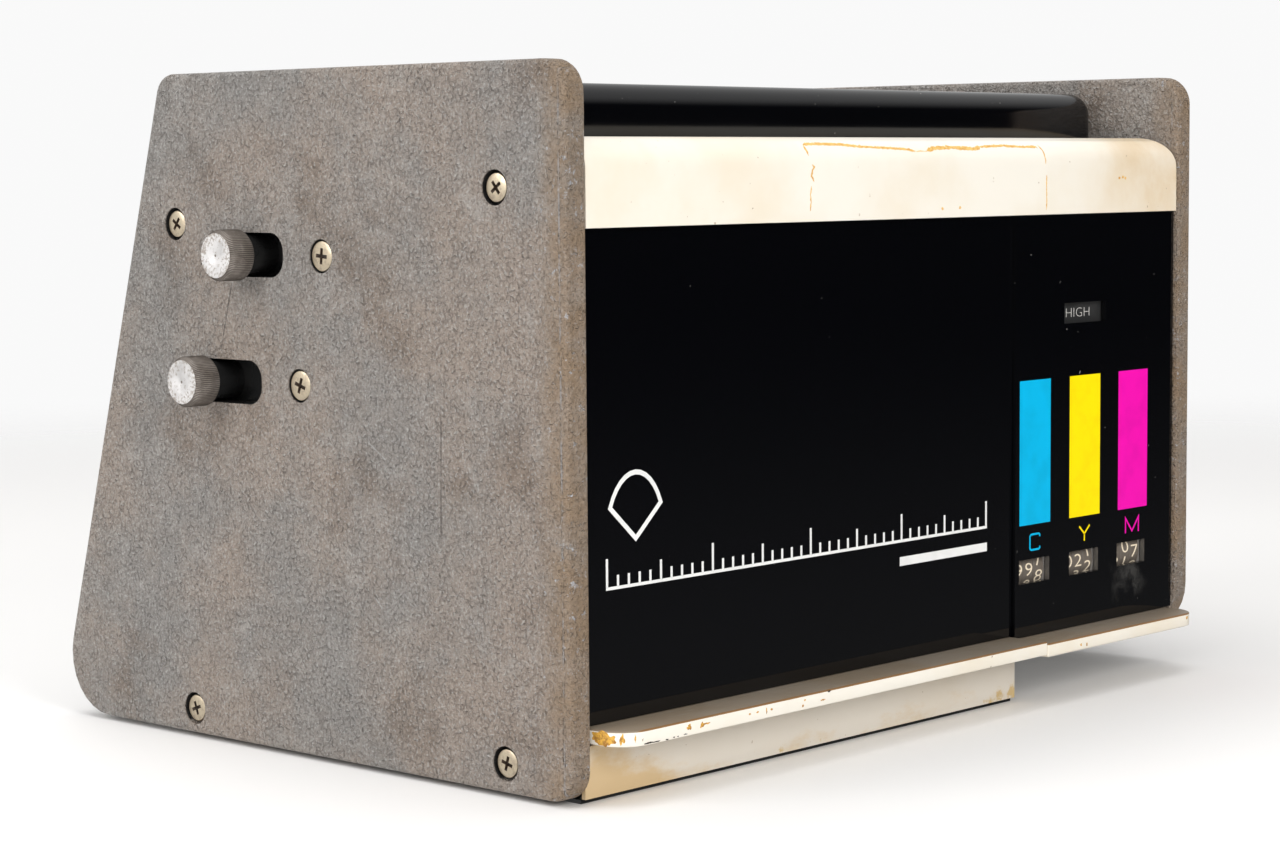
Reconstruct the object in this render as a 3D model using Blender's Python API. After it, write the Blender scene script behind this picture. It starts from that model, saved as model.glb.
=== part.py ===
"""Colour head of a photographic enlarger, modelled as the separate pieces it is assembled from.

Working frame: X runs across the head from the outer face of the left cheek, Y runs back from the
cheeks' front edges, Z runs up from the surface that the head stands on.  Every piece hangs on the
empty "head_origin", which puts the middle of the head's footprint at the world origin.
"""

import math

import bmesh
import bpy
from mathutils import Matrix, Vector

MM = 0.001
GAP = 0.3 * MM                    # left between pieces that touch
OVER = 1.0 * MM                   # how far a cutter runs past what it cuts

# Overall size
HEAD_W = 336.6 * MM
HEAD_H = 220.0 * MM
DEPTH_LOW = 248.0 * MM            # front edge to the back slope, at the foot
DEPTH_TOP = 185.7 * MM            # the same at the top
CHEEK_T = 8.6 * MM
LEFT_FOOT = 1.5 * MM              # height of the left cheek's lower edge
RIGHT_FOOT = 10.5 * MM
INNER_L = CHEEK_T + GAP
INNER_R = HEAD_W - CHEEK_T - GAP
SLOPE = math.atan((DEPTH_LOW - DEPTH_TOP) / HEAD_H)

# Front
SEAM_X = 226.5 * MM               # where the left and right front panels meet
PANEL_T = 2.0 * MM
PANEL_TOP = 170.4 * MM
LEFT_PANEL_Y = 2.9 * MM
RIGHT_PANEL_Y = 1.7 * MM
LEDGE_T = 4.7 * MM
LEDGE_Y = -12.8 * MM
LEFT_LEDGE_TOP = 23.2 * MM
RIGHT_LEDGE_TOP = 22.3 * MM
LEDGE_BACK = 6.0 * MM
TRIM_TOP = 197.5 * MM
TRIM_Y = 0.6 * MM
TRIM_R = 9.5 * MM
TRIM_BACK = 33.5 * MM
SHEET = 1.6 * MM
PLATE_T = 1.2 * MM
SKIRT_Y = 3.0 * MM
SKIRT_T = 1.5 * MM
SKIRT_END = 228.5 * MM

# Counters: three of three wheels, behind windows in the right panel
COUNTER_X = (238.5 * MM, 269.5 * MM, 300.3 * MM)
WINDOW_W = 18.6 * MM
WINDOW_LOW = 41.3 * MM
WINDOW_HIGH = 49.8 * MM
WHEEL_R = 9.7 * MM
WHEEL_W = 5.9 * MM
WHEEL_PITCH = 6.2 * MM
AXLE_R = 1.5 * MM
LEFT_EAR_T = 1.2 * MM
RIGHT_EAR_T = 3.8 * MM             # wide enough to close the window beside the last wheel
COUNTER_Y = 13.7 * MM
COUNTER_Z = 45.5 * MM
LEGEND_X = (256.5 * MM, 283.0 * MM)
LEGEND_Z = (131.8 * MM, 139.1 * MM)

# Levers on the left cheek: (slot front, slot back, lever, height, guide screw) along Y and Z
WHITE_LIGHT = dict(front=124.7 * MM, back=150.4 * MM, lever=143.3 * MM, z=161.3 * MM, pin=106.8 * MM)
ATTENUATOR = dict(front=136.2 * MM, back=168.8 * MM, lever=161.7 * MM, z=120.1 * MM, pin=118.0 * MM)
WHITE_LIGHT_TRAVEL = 11.5 * MM
ATTENUATOR_TRAVEL = 15.5 * MM
SLOT_H = 14.3 * MM
SLOT_R = 6.2 * MM
STEM_R = 6.45 * MM
KNOB_R = 8.25 * MM
KNOB_BACK = -2.5 * MM
KNOB_L = 9.75 * MM

# Filters: the glass slides along X into a square beam, driven by a lead screw for each colour
COLOURS = ("cyan", "yellow", "magenta")
SETTING = dict(cyan=-2.5, yellow=21.5, magenta=107.0)
FULL_COUNT = 200.0
COUNTS_PER_TURN = 10.0
SCREW_LEAD = 2.3 * MM
PARKED_X = 138.0 * MM             # left edge of a carrier at a count of zero
CARRIER_L = 52.0 * MM
CARRIER_T = 2.4 * MM
CARRIER_Z = dict(cyan=118.0 * MM, yellow=125.0 * MM, magenta=132.0 * MM)
SCREW_Y = dict(cyan=52.0 * MM, yellow=92.0 * MM, magenta=132.0 * MM)
ARM_Y = dict(cyan=71.0 * MM, yellow=102.5 * MM, magenta=113.0 * MM)
SCREW_Z = 126.2 * MM
SCREW_R = 3.0 * MM
BEAM_X = 118.0 * MM
BEAM_Y = 92.0 * MM
PORT = 44.0 * MM
GLASS = 46.0 * MM
NUT_X = 254.0 * MM                # nut block of a parked carrier, centre
NUT = 5.0 * MM                    # half its length and width
DIAL_R = 14.0 * MM
DIAL_L = 20.0 * MM

# Light box
CHAMBER_X = (28.0 * MM, 208.0 * MM)
CHAMBER_Y = (14.0 * MM, 170.0 * MM)
CHAMBER_TOP = 110.0 * MM
CHAMBER_WALL = 4.0 * MM
APERTURE_X = (38.0 * MM, 198.0 * MM)
APERTURE_Y = (24.0 * MM, 160.0 * MM)
BASE_BACK = 185.0 * MM
FLOOR_Z = 18.5 * MM
BULKHEAD_X = 224.8 * MM

# Hood
HOOD_TOP = 214.5 * MM
HOOD_LOW = 174.0 * MM
HOOD_Y = 35.0 * MM
HOOD_R = 8.0 * MM
HOOD_X = (9.2 * MM, 326.6 * MM)

# Back, in the sloping frame: u across, v up the slope, n out of it
COVER_N = -6.0 * MM
FAN_U = 278.0 * MM
FAN_V = 96.0 * MM
FAN_SIZE = 80.0 * MM
FAN_DEPTH = 25.0 * MM
INLET_U = 60.0 * MM
INLET_V = 62.0 * MM

SCREW_SPOTS = dict(
    cheek_screw_top_rear=(178.6 * MM, 170.9 * MM),
    cheek_screw_top_front=(29.3 * MM, 182.7 * MM),
    cheek_screw_low_rear=(173.7 * MM, 9.9 * MM),
    cheek_screw_low_front=(27.5 * MM, 10.5 * MM),
)
SCREW_HOLE_R = 5.4 * MM
SCREW_HOLE_DEPTH = 4.4 * MM
PIN_HOLE_DEPTH = 3.4 * MM
SHANK_R = 2.0 * MM


# ---------------------------------------------------------------- solids

# Puts a point (a, b) of a section at a distance t along the axis that is named
ALONG = {
    "X": lambda a, b, t: (t, a, b),
    "Y": lambda a, b, t: (a, t, b),
    "Z": lambda a, b, t: (a, b, t),
}


def box(x, y, z):
    """A cuboid between the given (low, high) pairs."""
    solid = bmesh.new()
    size = (x[1] - x[0], y[1] - y[0], z[1] - z[0])
    middle = Vector((x[0] + x[1], y[0] + y[1], z[0] + z[1])) / 2
    bmesh.ops.create_cube(solid, size=1.0, matrix=Matrix.Translation(middle) @ Matrix.Diagonal((*size, 1.0)))
    return solid


def rounded(points, radii, steps=6):
    """An outline whose corners are replaced by arcs of the given radii."""
    outline = []
    count = len(points)
    for i, radius in enumerate(radii):
        corner = Vector(points[i])
        if radius == 0:
            outline.append(corner)
            continue
        before = (Vector(points[i - 1]) - corner).normalized()
        after = (Vector(points[(i + 1) % count]) - corner).normalized()
        half = before.angle(after) / 2
        centre = corner + (before + after).normalized() * (radius / math.sin(half))
        start = corner + before * (radius / math.tan(half)) - centre
        sweep = start.angle_signed(corner + after * (radius / math.tan(half)) - centre)
        for k in range(steps + 1):
            outline.append(centre + Matrix.Rotation(-sweep * k / steps, 2) @ start)
    return outline


def prism(outline, axis, low, high):
    """Extrudes an outline along an axis; its two coordinates are the other axes in X, Y, Z order."""
    solid = bmesh.new()
    place = ALONG[axis]
    ends = []
    for t in (low, high):
        ends.append([solid.verts.new(place(p[0], p[1], t)) for p in outline])
    for end in ends:
        solid.faces.new(end)
    for i in range(len(outline)):
        solid.faces.new((ends[0][i - 1], ends[0][i], ends[1][i], ends[1][i - 1]))
    bmesh.ops.recalc_face_normals(solid, faces=solid.faces)
    return solid


def turned(profile, axis="X", at=(0, 0, 0), sides=24, ring=False):
    """A solid of revolution from (radius, distance) points; ring closes the profile on itself."""
    solid = bmesh.new()
    turn = ALONG[axis]
    rows = []
    for radius, along in profile:
        if radius == 0:
            rows.append([solid.verts.new(Vector(turn(0, 0, along)) + Vector(at))])
            continue
        angles = [2 * math.pi * k / sides for k in range(sides)]
        row = [turn(radius * math.cos(a), radius * math.sin(a), along) for a in angles]
        rows.append([solid.verts.new(Vector(p) + Vector(at)) for p in row])
    pairs = list(zip(rows, rows[1:]))
    if ring:
        pairs.append((rows[-1], rows[0]))
    for near, far in pairs:
        for k in range(sides):
            corners = [near[k - 1], near[k]] if len(near) > 1 else [near[0]]
            corners += [far[k], far[k - 1]] if len(far) > 1 else [far[0]]
            solid.faces.new(corners)
    bmesh.ops.recalc_face_normals(solid, faces=solid.faces)
    return solid


def rod(radius, low, high, axis="X", at=(0, 0, 0), sides=24):
    """A plain cylinder along an axis."""
    return turned([(0, low), (radius, low), (radius, high), (0, high)], axis, at, sides)


def ease(solid, width, picked, segments=2):
    """Rounds the edges for which picked(edge) is true."""
    edges = [edge for edge in solid.edges if picked(edge)]
    bmesh.ops.bevel(solid, geom=edges, offset=width, segments=segments, profile=0.5, affect="EDGES")
    return solid


def rim_of_plate(axis):
    """Picks the outline edges of a prism extruded along the axis."""
    index = "XYZ".index(axis)

    def picked(edge):
        a, b = edge.verts
        flat = abs(a.co[index] - b.co[index]) < 1e-7
        sharp = edge.calc_face_angle(0) > math.radians(60)
        return flat and sharp
    return picked


def joined(solids):
    """Puts several solids in one mesh, for use as one cutter."""
    whole = bmesh.new()
    for solid in solids:
        mesh = bpy.data.meshes.new("part_of_cutter")
        solid.to_mesh(mesh)
        whole.from_mesh(mesh)
        bpy.data.meshes.remove(mesh)
        solid.free()
    return whole


# ---------------------------------------------------------------- objects

def parent_empty(name, location, tilt=0.0, parent=None):
    empty = bpy.data.objects.new(name, None)
    bpy.context.collection.objects.link(empty)
    empty.location = location
    empty.rotation_euler = (tilt, 0.0, 0.0)
    empty.parent = parent
    return empty


def mesh_object(name, solid):
    mesh = bpy.data.meshes.new(name)
    solid.to_mesh(mesh)
    solid.free()
    shown = bpy.data.objects.new(name, mesh)
    bpy.context.collection.objects.link(shown)
    return shown


def tool(owner, solid, operation):
    """Adds a Boolean whose operand stays in the scene as a hidden wire object."""
    operand = mesh_object(owner.name + "_" + operation.lower(), solid)
    operand.hide_render = True
    operand.display_type = "WIRE"
    operand.parent = owner
    boolean = owner.modifiers.new(operation.title(), "BOOLEAN")
    boolean.operation = operation
    boolean.solver = "EXACT"
    boolean.object = operand


def piece(name, material, solid, parent, at=(0, 0, 0), add=(), cut=()):
    """One sub-part: its solid, what is joined to it and what is cut from it, all about its origin."""
    shown = mesh_object(name, solid)
    shown.data.materials.append(material)
    shown.data.shade_smooth()
    shown.data.set_sharp_from_angle(angle=math.radians(35))
    shown.location = at
    shown.parent = parent
    for extra in add:
        tool(shown, extra, "UNION")
    if cut:
        tool(shown, joined(cut), "DIFFERENCE")
    return shown


def finish(name, colour, roughness, metallic=0.0, alpha=1.0):
    """A Principled material."""
    material = bpy.data.materials.new(name)
    material.use_nodes = True
    shader = material.node_tree.nodes["Principled BSDF"]
    shader.inputs["Base Color"].default_value = (*colour, 1.0)
    shader.inputs["Roughness"].default_value = roughness
    shader.inputs["Metallic"].default_value = metallic
    shader.inputs["Alpha"].default_value = alpha
    return material


def crackle_paint():
    return finish("crackle_paint", (0.24, 0.21, 0.185), 0.6)


def cream_enamel():
    return finish("cream_enamel", (0.86, 0.79, 0.64), 0.4)


def black_glass():
    return finish("black_glass", (0.006, 0.006, 0.007), 0.05)


def black_enamel():
    return finish("black_enamel", (0.008, 0.008, 0.009), 0.15)


def black_sheet():
    return finish("black_sheet", (0.015, 0.015, 0.015), 0.5)


def black_plastic():
    return finish("black_plastic", (0.02, 0.02, 0.02), 0.45)


def zinc_sheet():
    return finish("zinc_sheet", (0.5, 0.5, 0.5), 0.4, 1.0)


def turned_aluminium():
    return finish("turned_aluminium", (0.75, 0.74, 0.72), 0.35, 1.0)


def nickel_screw():
    return finish("nickel_screw", (0.55, 0.5, 0.42), 0.35, 1.0)


def white_foam():
    return finish("white_foam", (0.9, 0.9, 0.88), 0.9)


def opal_sheet():
    return finish("opal_sheet", (0.92, 0.92, 0.9), 0.5)


def lamp_glass():
    return finish("lamp_glass", (0.85, 0.88, 0.9), 0.08)


def ceramic():
    return finish("ceramic", (0.85, 0.83, 0.78), 0.6)


def filter_glass(colour):
    tints = dict(cyan=(0.0, 0.5, 0.75), yellow=(0.9, 0.75, 0.0), magenta=(0.75, 0.0, 0.4))
    return finish("filter_" + colour, tints[colour], 0.05)


# ---------------------------------------------------------------- shell

def back_y(z):
    """Where the cheeks' sloping back edge is at a height."""
    return DEPTH_LOW - (DEPTH_LOW - DEPTH_TOP) * z / HEAD_H


def cheek_outline(foot, front_radius):
    corners = [(0, foot), (back_y(foot), foot), (back_y(HEAD_H), HEAD_H), (0, HEAD_H)]
    return rounded(corners, (front_radius, 20 * MM, 8 * MM, 10 * MM), steps=8)


def sunk_hole(y, z, depth):
    """A stepped hole along X from the left cheek's outer face: head recess, then shank."""
    shank = SHANK_R + GAP
    end = CHEEK_T + OVER
    profile = [(0, -OVER), (SCREW_HOLE_R, -OVER), (SCREW_HOLE_R, depth)]
    profile += [(shank, depth), (shank, end), (0, end)]
    return turned(profile, "X", (0, y, z))


def lever_slot(lever):
    z = (lever["z"] - SLOT_H / 2, lever["z"] + SLOT_H / 2)
    corners = [(lever["front"], z[0]), (lever["back"], z[0]), (lever["back"], z[1]), (lever["front"], z[1])]
    return prism(rounded(corners, [SLOT_R] * 4, steps=8), "X", -OVER, CHEEK_T + OVER)


def make_left_cheek(head, paint):
    plate = prism(cheek_outline(LEFT_FOOT, 9 * MM), "X", 0, CHEEK_T)
    ease(plate, 1.3 * MM, rim_of_plate("X"))
    cuts = [sunk_hole(y, z, SCREW_HOLE_DEPTH) for y, z in SCREW_SPOTS.values()]
    cuts += [sunk_hole(lever["pin"], lever["z"], PIN_HOLE_DEPTH) for lever in (WHITE_LIGHT, ATTENUATOR)]
    cuts += [lever_slot(lever) for lever in (WHITE_LIGHT, ATTENUATOR)]
    piece("left_cheek", paint, plate, head, cut=cuts)


def make_right_cheek(head, paint):
    plate = prism(cheek_outline(RIGHT_FOOT, 20 * MM), "X", HEAD_W - CHEEK_T, HEAD_W)
    ease(plate, 1.3 * MM, rim_of_plate("X"))
    ends = (HEAD_W - CHEEK_T - OVER, HEAD_W + OVER)
    cuts = [rod(SCREW_R + GAP, *ends, at=(0, SCREW_Y[c], SCREW_Z), sides=20) for c in COLOURS]
    piece("right_cheek", paint, plate, head, cut=cuts)


def make_screw(name, head, metal, y, z, sink, head_r, length):
    """A cheek screw: domed head sunk below the outer face, shank running inwards."""
    seat = sink + 2.0 * MM
    profile = [(0, sink), (head_r * 0.8, sink + 0.1 * MM), (head_r, sink + 0.7 * MM), (head_r, seat)]
    profile += [(SHANK_R, seat), (SHANK_R, length), (0, length)]
    arm = 2.3 * MM
    slot = 0.55 * MM
    deep = (sink - OVER, sink + 1.1 * MM)
    cross = [box(deep, (-arm, arm), (-slot, slot)), box(deep, (-slot, slot), (-arm, arm))]
    screw = piece(name, metal, turned(profile, sides=20), head, at=(0, y, z))
    for bar in cross:
        tool(screw, bar, "DIFFERENCE")


def make_cheek_screws(head, metal):
    for name, (y, z) in SCREW_SPOTS.items():
        make_screw(name, head, metal, y, z, 0.6 * MM, 4.4 * MM, 15 * MM)
    pins = dict(guide_screw_upper=WHITE_LIGHT, guide_screw_lower=ATTENUATOR)
    for name, lever in pins.items():
        make_screw(name, head, metal, lever["pin"], lever["z"], 0.3 * MM, 4.85 * MM, 12.5 * MM)


def make_base_plate(head, metal):
    front = SKIRT_Y + SKIRT_T + GAP
    plate = box((INNER_L, SKIRT_END), (front, BASE_BACK), (0, PLATE_T))
    aperture = box(APERTURE_X, APERTURE_Y, (-OVER, PLATE_T + OVER))
    piece("base_plate", metal, plate, head, cut=[aperture])


def make_front_panels(head, glass):
    depth = (LEFT_PANEL_Y, LEFT_PANEL_Y + PANEL_T)
    left = box((INNER_L, SEAM_X - GAP / 2), depth, (LEFT_LEDGE_TOP + GAP, PANEL_TOP))
    piece("front_panel_left", glass, left, head)
    depth = (RIGHT_PANEL_Y, RIGHT_PANEL_Y + PANEL_T)
    right = box((SEAM_X + GAP / 2, INNER_R), depth, (RIGHT_LEDGE_TOP + GAP, PANEL_TOP))
    through = (depth[0] - OVER, depth[1] + OVER)
    half = WINDOW_W / 2
    cuts = [box((x - half, x + half), through, (WINDOW_LOW, WINDOW_HIGH)) for x in COUNTER_X]
    cuts.append(box(LEGEND_X, through, LEGEND_Z))
    piece("front_panel_right", glass, right, head, cut=cuts)


def make_top_trim(head, enamel):
    """Sheet rolled back over its top, with its right upper corner cut to an arc."""
    outline = []
    for radius, offset in ((TRIM_R, 0.0), (TRIM_R - SHEET, SHEET)):
        front = TRIM_Y + offset
        top = TRIM_TOP - offset
        arc = [math.pi / 2 * k / 8 for k in range(9)]
        centre = (TRIM_Y + TRIM_R, TRIM_TOP - TRIM_R)
        run = [(front, PANEL_TOP + GAP)]
        run += [(centre[0] - radius * math.cos(a), centre[1] + radius * math.sin(a)) for a in arc]
        run += [(TRIM_BACK, top)]
        outline += run if offset == 0 else run[::-1]
    corner = 12 * MM
    centre = (INNER_R - corner, TRIM_TOP - corner)
    arc = [math.pi / 2 * k / 8 for k in range(9)]
    waste = [(centre[0] + corner * math.sin(a), centre[1] + corner * math.cos(a)) for a in arc]
    waste += [(INNER_R + OVER, centre[1]), (INNER_R + OVER, TRIM_TOP + OVER), (centre[0], TRIM_TOP + OVER)]
    cut = prism(waste, "Y", -OVER, TRIM_BACK + OVER)
    piece("top_trim", enamel, prism(outline, "X", INNER_L, INNER_R), head, cut=[cut])


def make_ledges(head, enamel):
    left_end = SEAM_X - 0.5 * MM
    right_end = 324.8 * MM
    corners = [(INNER_L, LEDGE_BACK), (left_end, LEDGE_BACK), (left_end, LEDGE_Y), (INNER_L, LEDGE_Y)]
    outline = rounded(corners, (0, 0, 0.8 * MM, 10 * MM))
    left = prism(outline, "Z", LEFT_LEDGE_TOP - LEDGE_T, LEFT_LEDGE_TOP)
    piece("ledge_left", enamel, ease(left, 0.5 * MM, rim_of_plate("Z"), 1), head)
    start = left_end + GAP
    corners = [(start, LEDGE_BACK), (right_end, LEDGE_BACK), (right_end, LEDGE_Y), (start, LEDGE_Y)]
    outline = rounded(corners, (0, 0, 10 * MM, 0.8 * MM))
    right = prism(outline, "Z", RIGHT_LEDGE_TOP - LEDGE_T, RIGHT_LEDGE_TOP)
    piece("ledge_right", enamel, ease(right, 0.5 * MM, rim_of_plate("Z"), 1), head)


def make_skirt(head, enamel):
    top = RIGHT_LEDGE_TOP - LEDGE_T - GAP
    sheet = box((INNER_L, SKIRT_END), (SKIRT_Y, SKIRT_Y + SKIRT_T), (LEFT_FOOT, top))
    piece("skirt", enamel, sheet, head)


def make_hood(head, enamel):
    """Lift-off lid: five rounded sides of sheet, open underneath."""
    back = back_y(0) - 5 * MM
    slant = (DEPTH_LOW - DEPTH_TOP) / HEAD_H
    shell = box(HOOD_X, (HOOD_Y, back), (HOOD_LOW, HOOD_TOP))
    for vert in shell.verts:
        if vert.co.y > HOOD_Y + OVER:
            vert.co.y -= slant * vert.co.z
    ease(shell, HOOD_R, lambda e: max(v.co.z for v in e.verts) > HOOD_TOP - OVER, 4)
    bmesh.ops.delete(shell, geom=[f for f in shell.faces if f.normal.z < -0.9], context="FACES_ONLY")
    hood = piece("hood", enamel, shell, head)
    wall = hood.modifiers.new("Wall", "SOLIDIFY")
    wall.thickness = 1.5 * MM
    wall.offset = -1.0
    wall.use_even_offset = True


def make_floors(head, metal):
    bulkhead = box((BULKHEAD_X, BULKHEAD_X + SHEET), (6.3 * MM, BASE_BACK - OVER), (LEFT_FOOT, CHAMBER_TOP))
    piece("bulkhead", metal, bulkhead, head)
    start = BULKHEAD_X + SHEET + GAP
    back = back_y(FLOOR_Z) - 9 * MM
    floor = box((start, INNER_R), (LEDGE_BACK + GAP, back), (FLOOR_Z, FLOOR_Z + SHEET))
    piece("module_floor", metal, floor, head)
    turn = BASE_BACK + GAP
    angle = [(turn, LEFT_FOOT), (turn + SHEET, LEFT_FOOT), (turn + SHEET, FLOOR_Z)]
    angle += [(back, FLOOR_Z), (back, FLOOR_Z + SHEET), (turn, FLOOR_Z + SHEET)]
    piece("rear_floor", metal, prism(angle, "X", INNER_L, BULKHEAD_X), head)


# ---------------------------------------------------------------- light path

def make_mixing_chamber(head, foam, opal):
    outer = box(CHAMBER_X, CHAMBER_Y, (LEFT_FOOT, CHAMBER_TOP))
    inside_x = (CHAMBER_X[0] + CHAMBER_WALL, CHAMBER_X[1] - CHAMBER_WALL)
    inside_y = (CHAMBER_Y[0] + CHAMBER_WALL, CHAMBER_Y[1] - CHAMBER_WALL)
    hollow = box(inside_x, inside_y, (0, CHAMBER_TOP - CHAMBER_WALL))
    half = PORT / 2
    port_z = (CHAMBER_TOP - 2 * CHAMBER_WALL, HEAD_H)
    port = box((BEAM_X - half, BEAM_X + half), (BEAM_Y - half, BEAM_Y + half), port_z)
    chamber = piece("mixing_chamber", foam, outer, head)
    tool(chamber, hollow, "DIFFERENCE")
    tool(chamber, port, "DIFFERENCE")
    sheet_x = (inside_x[0] + GAP, inside_x[1] - GAP)
    sheet_y = (inside_y[0] + GAP, inside_y[1] - GAP)
    piece("diffuser", opal, box(sheet_x, sheet_y, (4 * MM, 7 * MM)), head)


def make_filter_guide(head, metal):
    """Two grooved rails on cross bars; the attenuator passes under them."""
    span = (84 * MM, 200 * MM)
    low = CHAMBER_TOP + GAP
    rails = ((60 * MM, 66 * MM), (118 * MM, 124 * MM))
    bars = [box((span[0], span[0] + 7 * MM), (rails[0][0], rails[1][1]), (low, 116 * MM))]
    bars.append(box((span[1] - 7 * MM, span[1]), (rails[0][0], rails[1][1]), (low, 116 * MM)))
    top = 137 * MM
    front = box(span, rails[0], (115.5 * MM, top))
    rear = box(span, rails[1], (115.5 * MM, top))
    grooves = []
    for colour in COLOURS:
        z = (CARRIER_Z[colour] - GAP, CARRIER_Z[colour] + CARRIER_T + GAP)
        ends = (span[0] - OVER, span[1] + OVER)
        grooves.append(box(ends, (rails[0][1] - 3 * MM, rails[1][0] + 3 * MM), z))
    piece("filter_guide", metal, front, head, add=[rear] + bars, cut=grooves)


def make_lamp(head, metal, glass, socket):
    """Reflector lamp hung over the beam in a C-shaped bracket, heat glass under it."""
    low = 137.3 * MM
    top = 200 * MM
    back = 128 * MM
    outline = [(58 * MM, low), (back, low), (back, top), (78 * MM, top), (78 * MM, top - SHEET)]
    outline += [(back - SHEET, top - SHEET), (back - SHEET, low + SHEET), (58 * MM, low + SHEET)]
    hole = rod(22 * MM, low - OVER, low + SHEET + OVER, "Z", (BEAM_X, BEAM_Y, 0), 28)
    piece("lamp_bracket", metal, prism(outline, "X", 90 * MM, 146 * MM), head, cut=[hole])
    axis = (BEAM_X, BEAM_Y, 0)
    seat = low + SHEET + GAP
    piece("heat_glass", glass, rod(25 * MM, seat, seat + 3 * MM, "Z", axis, 28), head)
    rim = seat + 3 * MM + GAP
    outer = [(25, 0), (25, 3), (20, 16), (12, 27), (8, 30), (8, 38)]
    inner = [(0, 30), (9, 26), (17, 16), (23, 2), (23, 0)]
    profile = [(0, 38)] + outer[::-1] + inner[::-1]
    lamp = turned([(r * MM, z * MM + rim) for r, z in profile], "Z", axis, 28)
    piece("lamp", glass, lamp, head)
    base = rim + 38 * MM + GAP
    piece("lamp_socket", socket, rod(11 * MM, base, top - SHEET - GAP, "Z", axis, 20), head)


def carrier_arm(colour):
    """The flat arm from a parked carrier, the foot at its end, and the nut block round the screw."""
    z = (CARRIER_Z[colour], CARRIER_Z[colour] + CARRIER_T)
    y = SCREW_Y[colour]
    arm_y = (ARM_Y[colour] - NUT, ARM_Y[colour] + NUT)
    nut_x = (NUT_X - NUT, NUT_X + NUT)
    arm = box((PARKED_X + CARRIER_L - OVER, nut_x[1]), arm_y, z)
    reach = (min(y - NUT, arm_y[0]), max(y + NUT, arm_y[1]))
    foot = box(nut_x, reach, z)
    top = (min(z[0], SCREW_Z - 6.5 * MM), max(z[1], SCREW_Z + 6.5 * MM))
    nut = box(nut_x, (y - NUT, y + NUT), top)
    return [arm, foot, nut]


def make_filter(head, colour, metal, glass, plastic):
    """A carrier with its glass at the set count, and the screw and dial that drive it."""
    slid = -SETTING[colour] / COUNTS_PER_TURN * SCREW_LEAD
    slide = parent_empty("filter_slide_" + colour, (slid, 0, 0), parent=head)
    z = (CARRIER_Z[colour], CARRIER_Z[colour] + CARRIER_T)
    frame_y = (63.3 * MM, 120.7 * MM)
    frame = box((PARKED_X, PARKED_X + CARRIER_L), frame_y, z)
    mid = PARKED_X + CARRIER_L / 2
    half = GLASS / 2
    hole = half + GAP
    window = box((mid - hole, mid + hole), (BEAM_Y - hole, BEAM_Y + hole), (z[0] - OVER, z[1] + OVER))
    bore = rod(SCREW_R + GAP, NUT_X - 2 * NUT, NUT_X + 2 * NUT, at=(0, SCREW_Y[colour], SCREW_Z), sides=20)
    piece("filter_carrier_" + colour, metal, frame, slide, add=carrier_arm(colour), cut=[window, bore])
    pane = box((mid - half, mid + half), (BEAM_Y - half, BEAM_Y + half), (z[0] + 0.2 * MM, z[1] - 0.2 * MM))
    piece("filter_glass_" + colour, glass, pane, slide)
    axis = (0, SCREW_Y[colour], SCREW_Z)
    tip = HEAD_W + DIAL_L - 4 * MM
    piece("lead_screw_" + colour, metal, rod(SCREW_R, 199 * MM, tip, sides=20), head, at=axis)
    face = HEAD_W + 0.8 * MM
    end = HEAD_W + DIAL_L
    bore_r = SCREW_R + GAP
    rim = [(0, tip + GAP), (bore_r, tip + GAP), (bore_r, face), (DIAL_R - 0.6 * MM, face)]
    rim += [(DIAL_R, face + 0.6 * MM), (DIAL_R, end - 1.2 * MM), (DIAL_R - 1.2 * MM, end), (0, end)]
    piece("filter_knob_" + colour, plastic, turned(rim, sides=36), head, at=axis)


def make_screw_bracket(head, metal):
    """Upright plate on the module floor that carries the lead screws."""
    x = (290 * MM, 290 * MM + SHEET)
    plate = box(x, (40 * MM, 144 * MM), (FLOOR_Z + SHEET + GAP, 138 * MM))
    ends = (x[0] - OVER, x[1] + OVER)
    cuts = [rod(SCREW_R + GAP, *ends, at=(0, SCREW_Y[c], SCREW_Z), sides=20) for c in COLOURS]
    piece("screw_bracket", metal, plate, head, cut=cuts)


# ---------------------------------------------------------------- levers and legend

def make_lever(head, name, lever, travel, sheet, metal, arms):
    """A slide behind the cheek with its stem through the slot, and the knob on the stem."""
    slide = parent_empty(name + "_axis", (0, lever["lever"], lever["z"]), parent=head)
    pin = lever["pin"] - lever["lever"]
    front = pin - 7 * MM
    back = lever["back"] + travel + 2 * MM - lever["lever"]
    skin = (INNER_L, INNER_L + PLATE_T)
    plate = box(skin, (front, back), (-11 * MM, 11 * MM))
    stem = rod(STEM_R, KNOB_BACK + GAP, INNER_L + PLATE_T / 2)
    reach = SHANK_R + 0.4 * MM
    track = box((skin[0] - OVER, skin[1] + OVER), (pin - reach, pin + travel + reach), (-reach, reach))
    piece(name + "_slide", sheet, plate, slide, add=[stem] + arms, cut=[track])
    tip = KNOB_BACK - KNOB_L
    knob = [(0, KNOB_BACK), (KNOB_R - 0.6 * MM, KNOB_BACK), (KNOB_R, KNOB_BACK - 0.6 * MM)]
    knob += [(KNOB_R, tip + 0.9 * MM), (KNOB_R - 0.9 * MM, tip), (0, tip)]
    piece(name + "_knob", metal, turned(knob, sides=32), slide)


def white_light_arms():
    """A tab that reaches in towards the filters."""
    return [box((INNER_L + OVER / 2, 82 * MM), (-6 * MM, 6 * MM), (-0.8 * MM, 0.8 * MM))]


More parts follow.
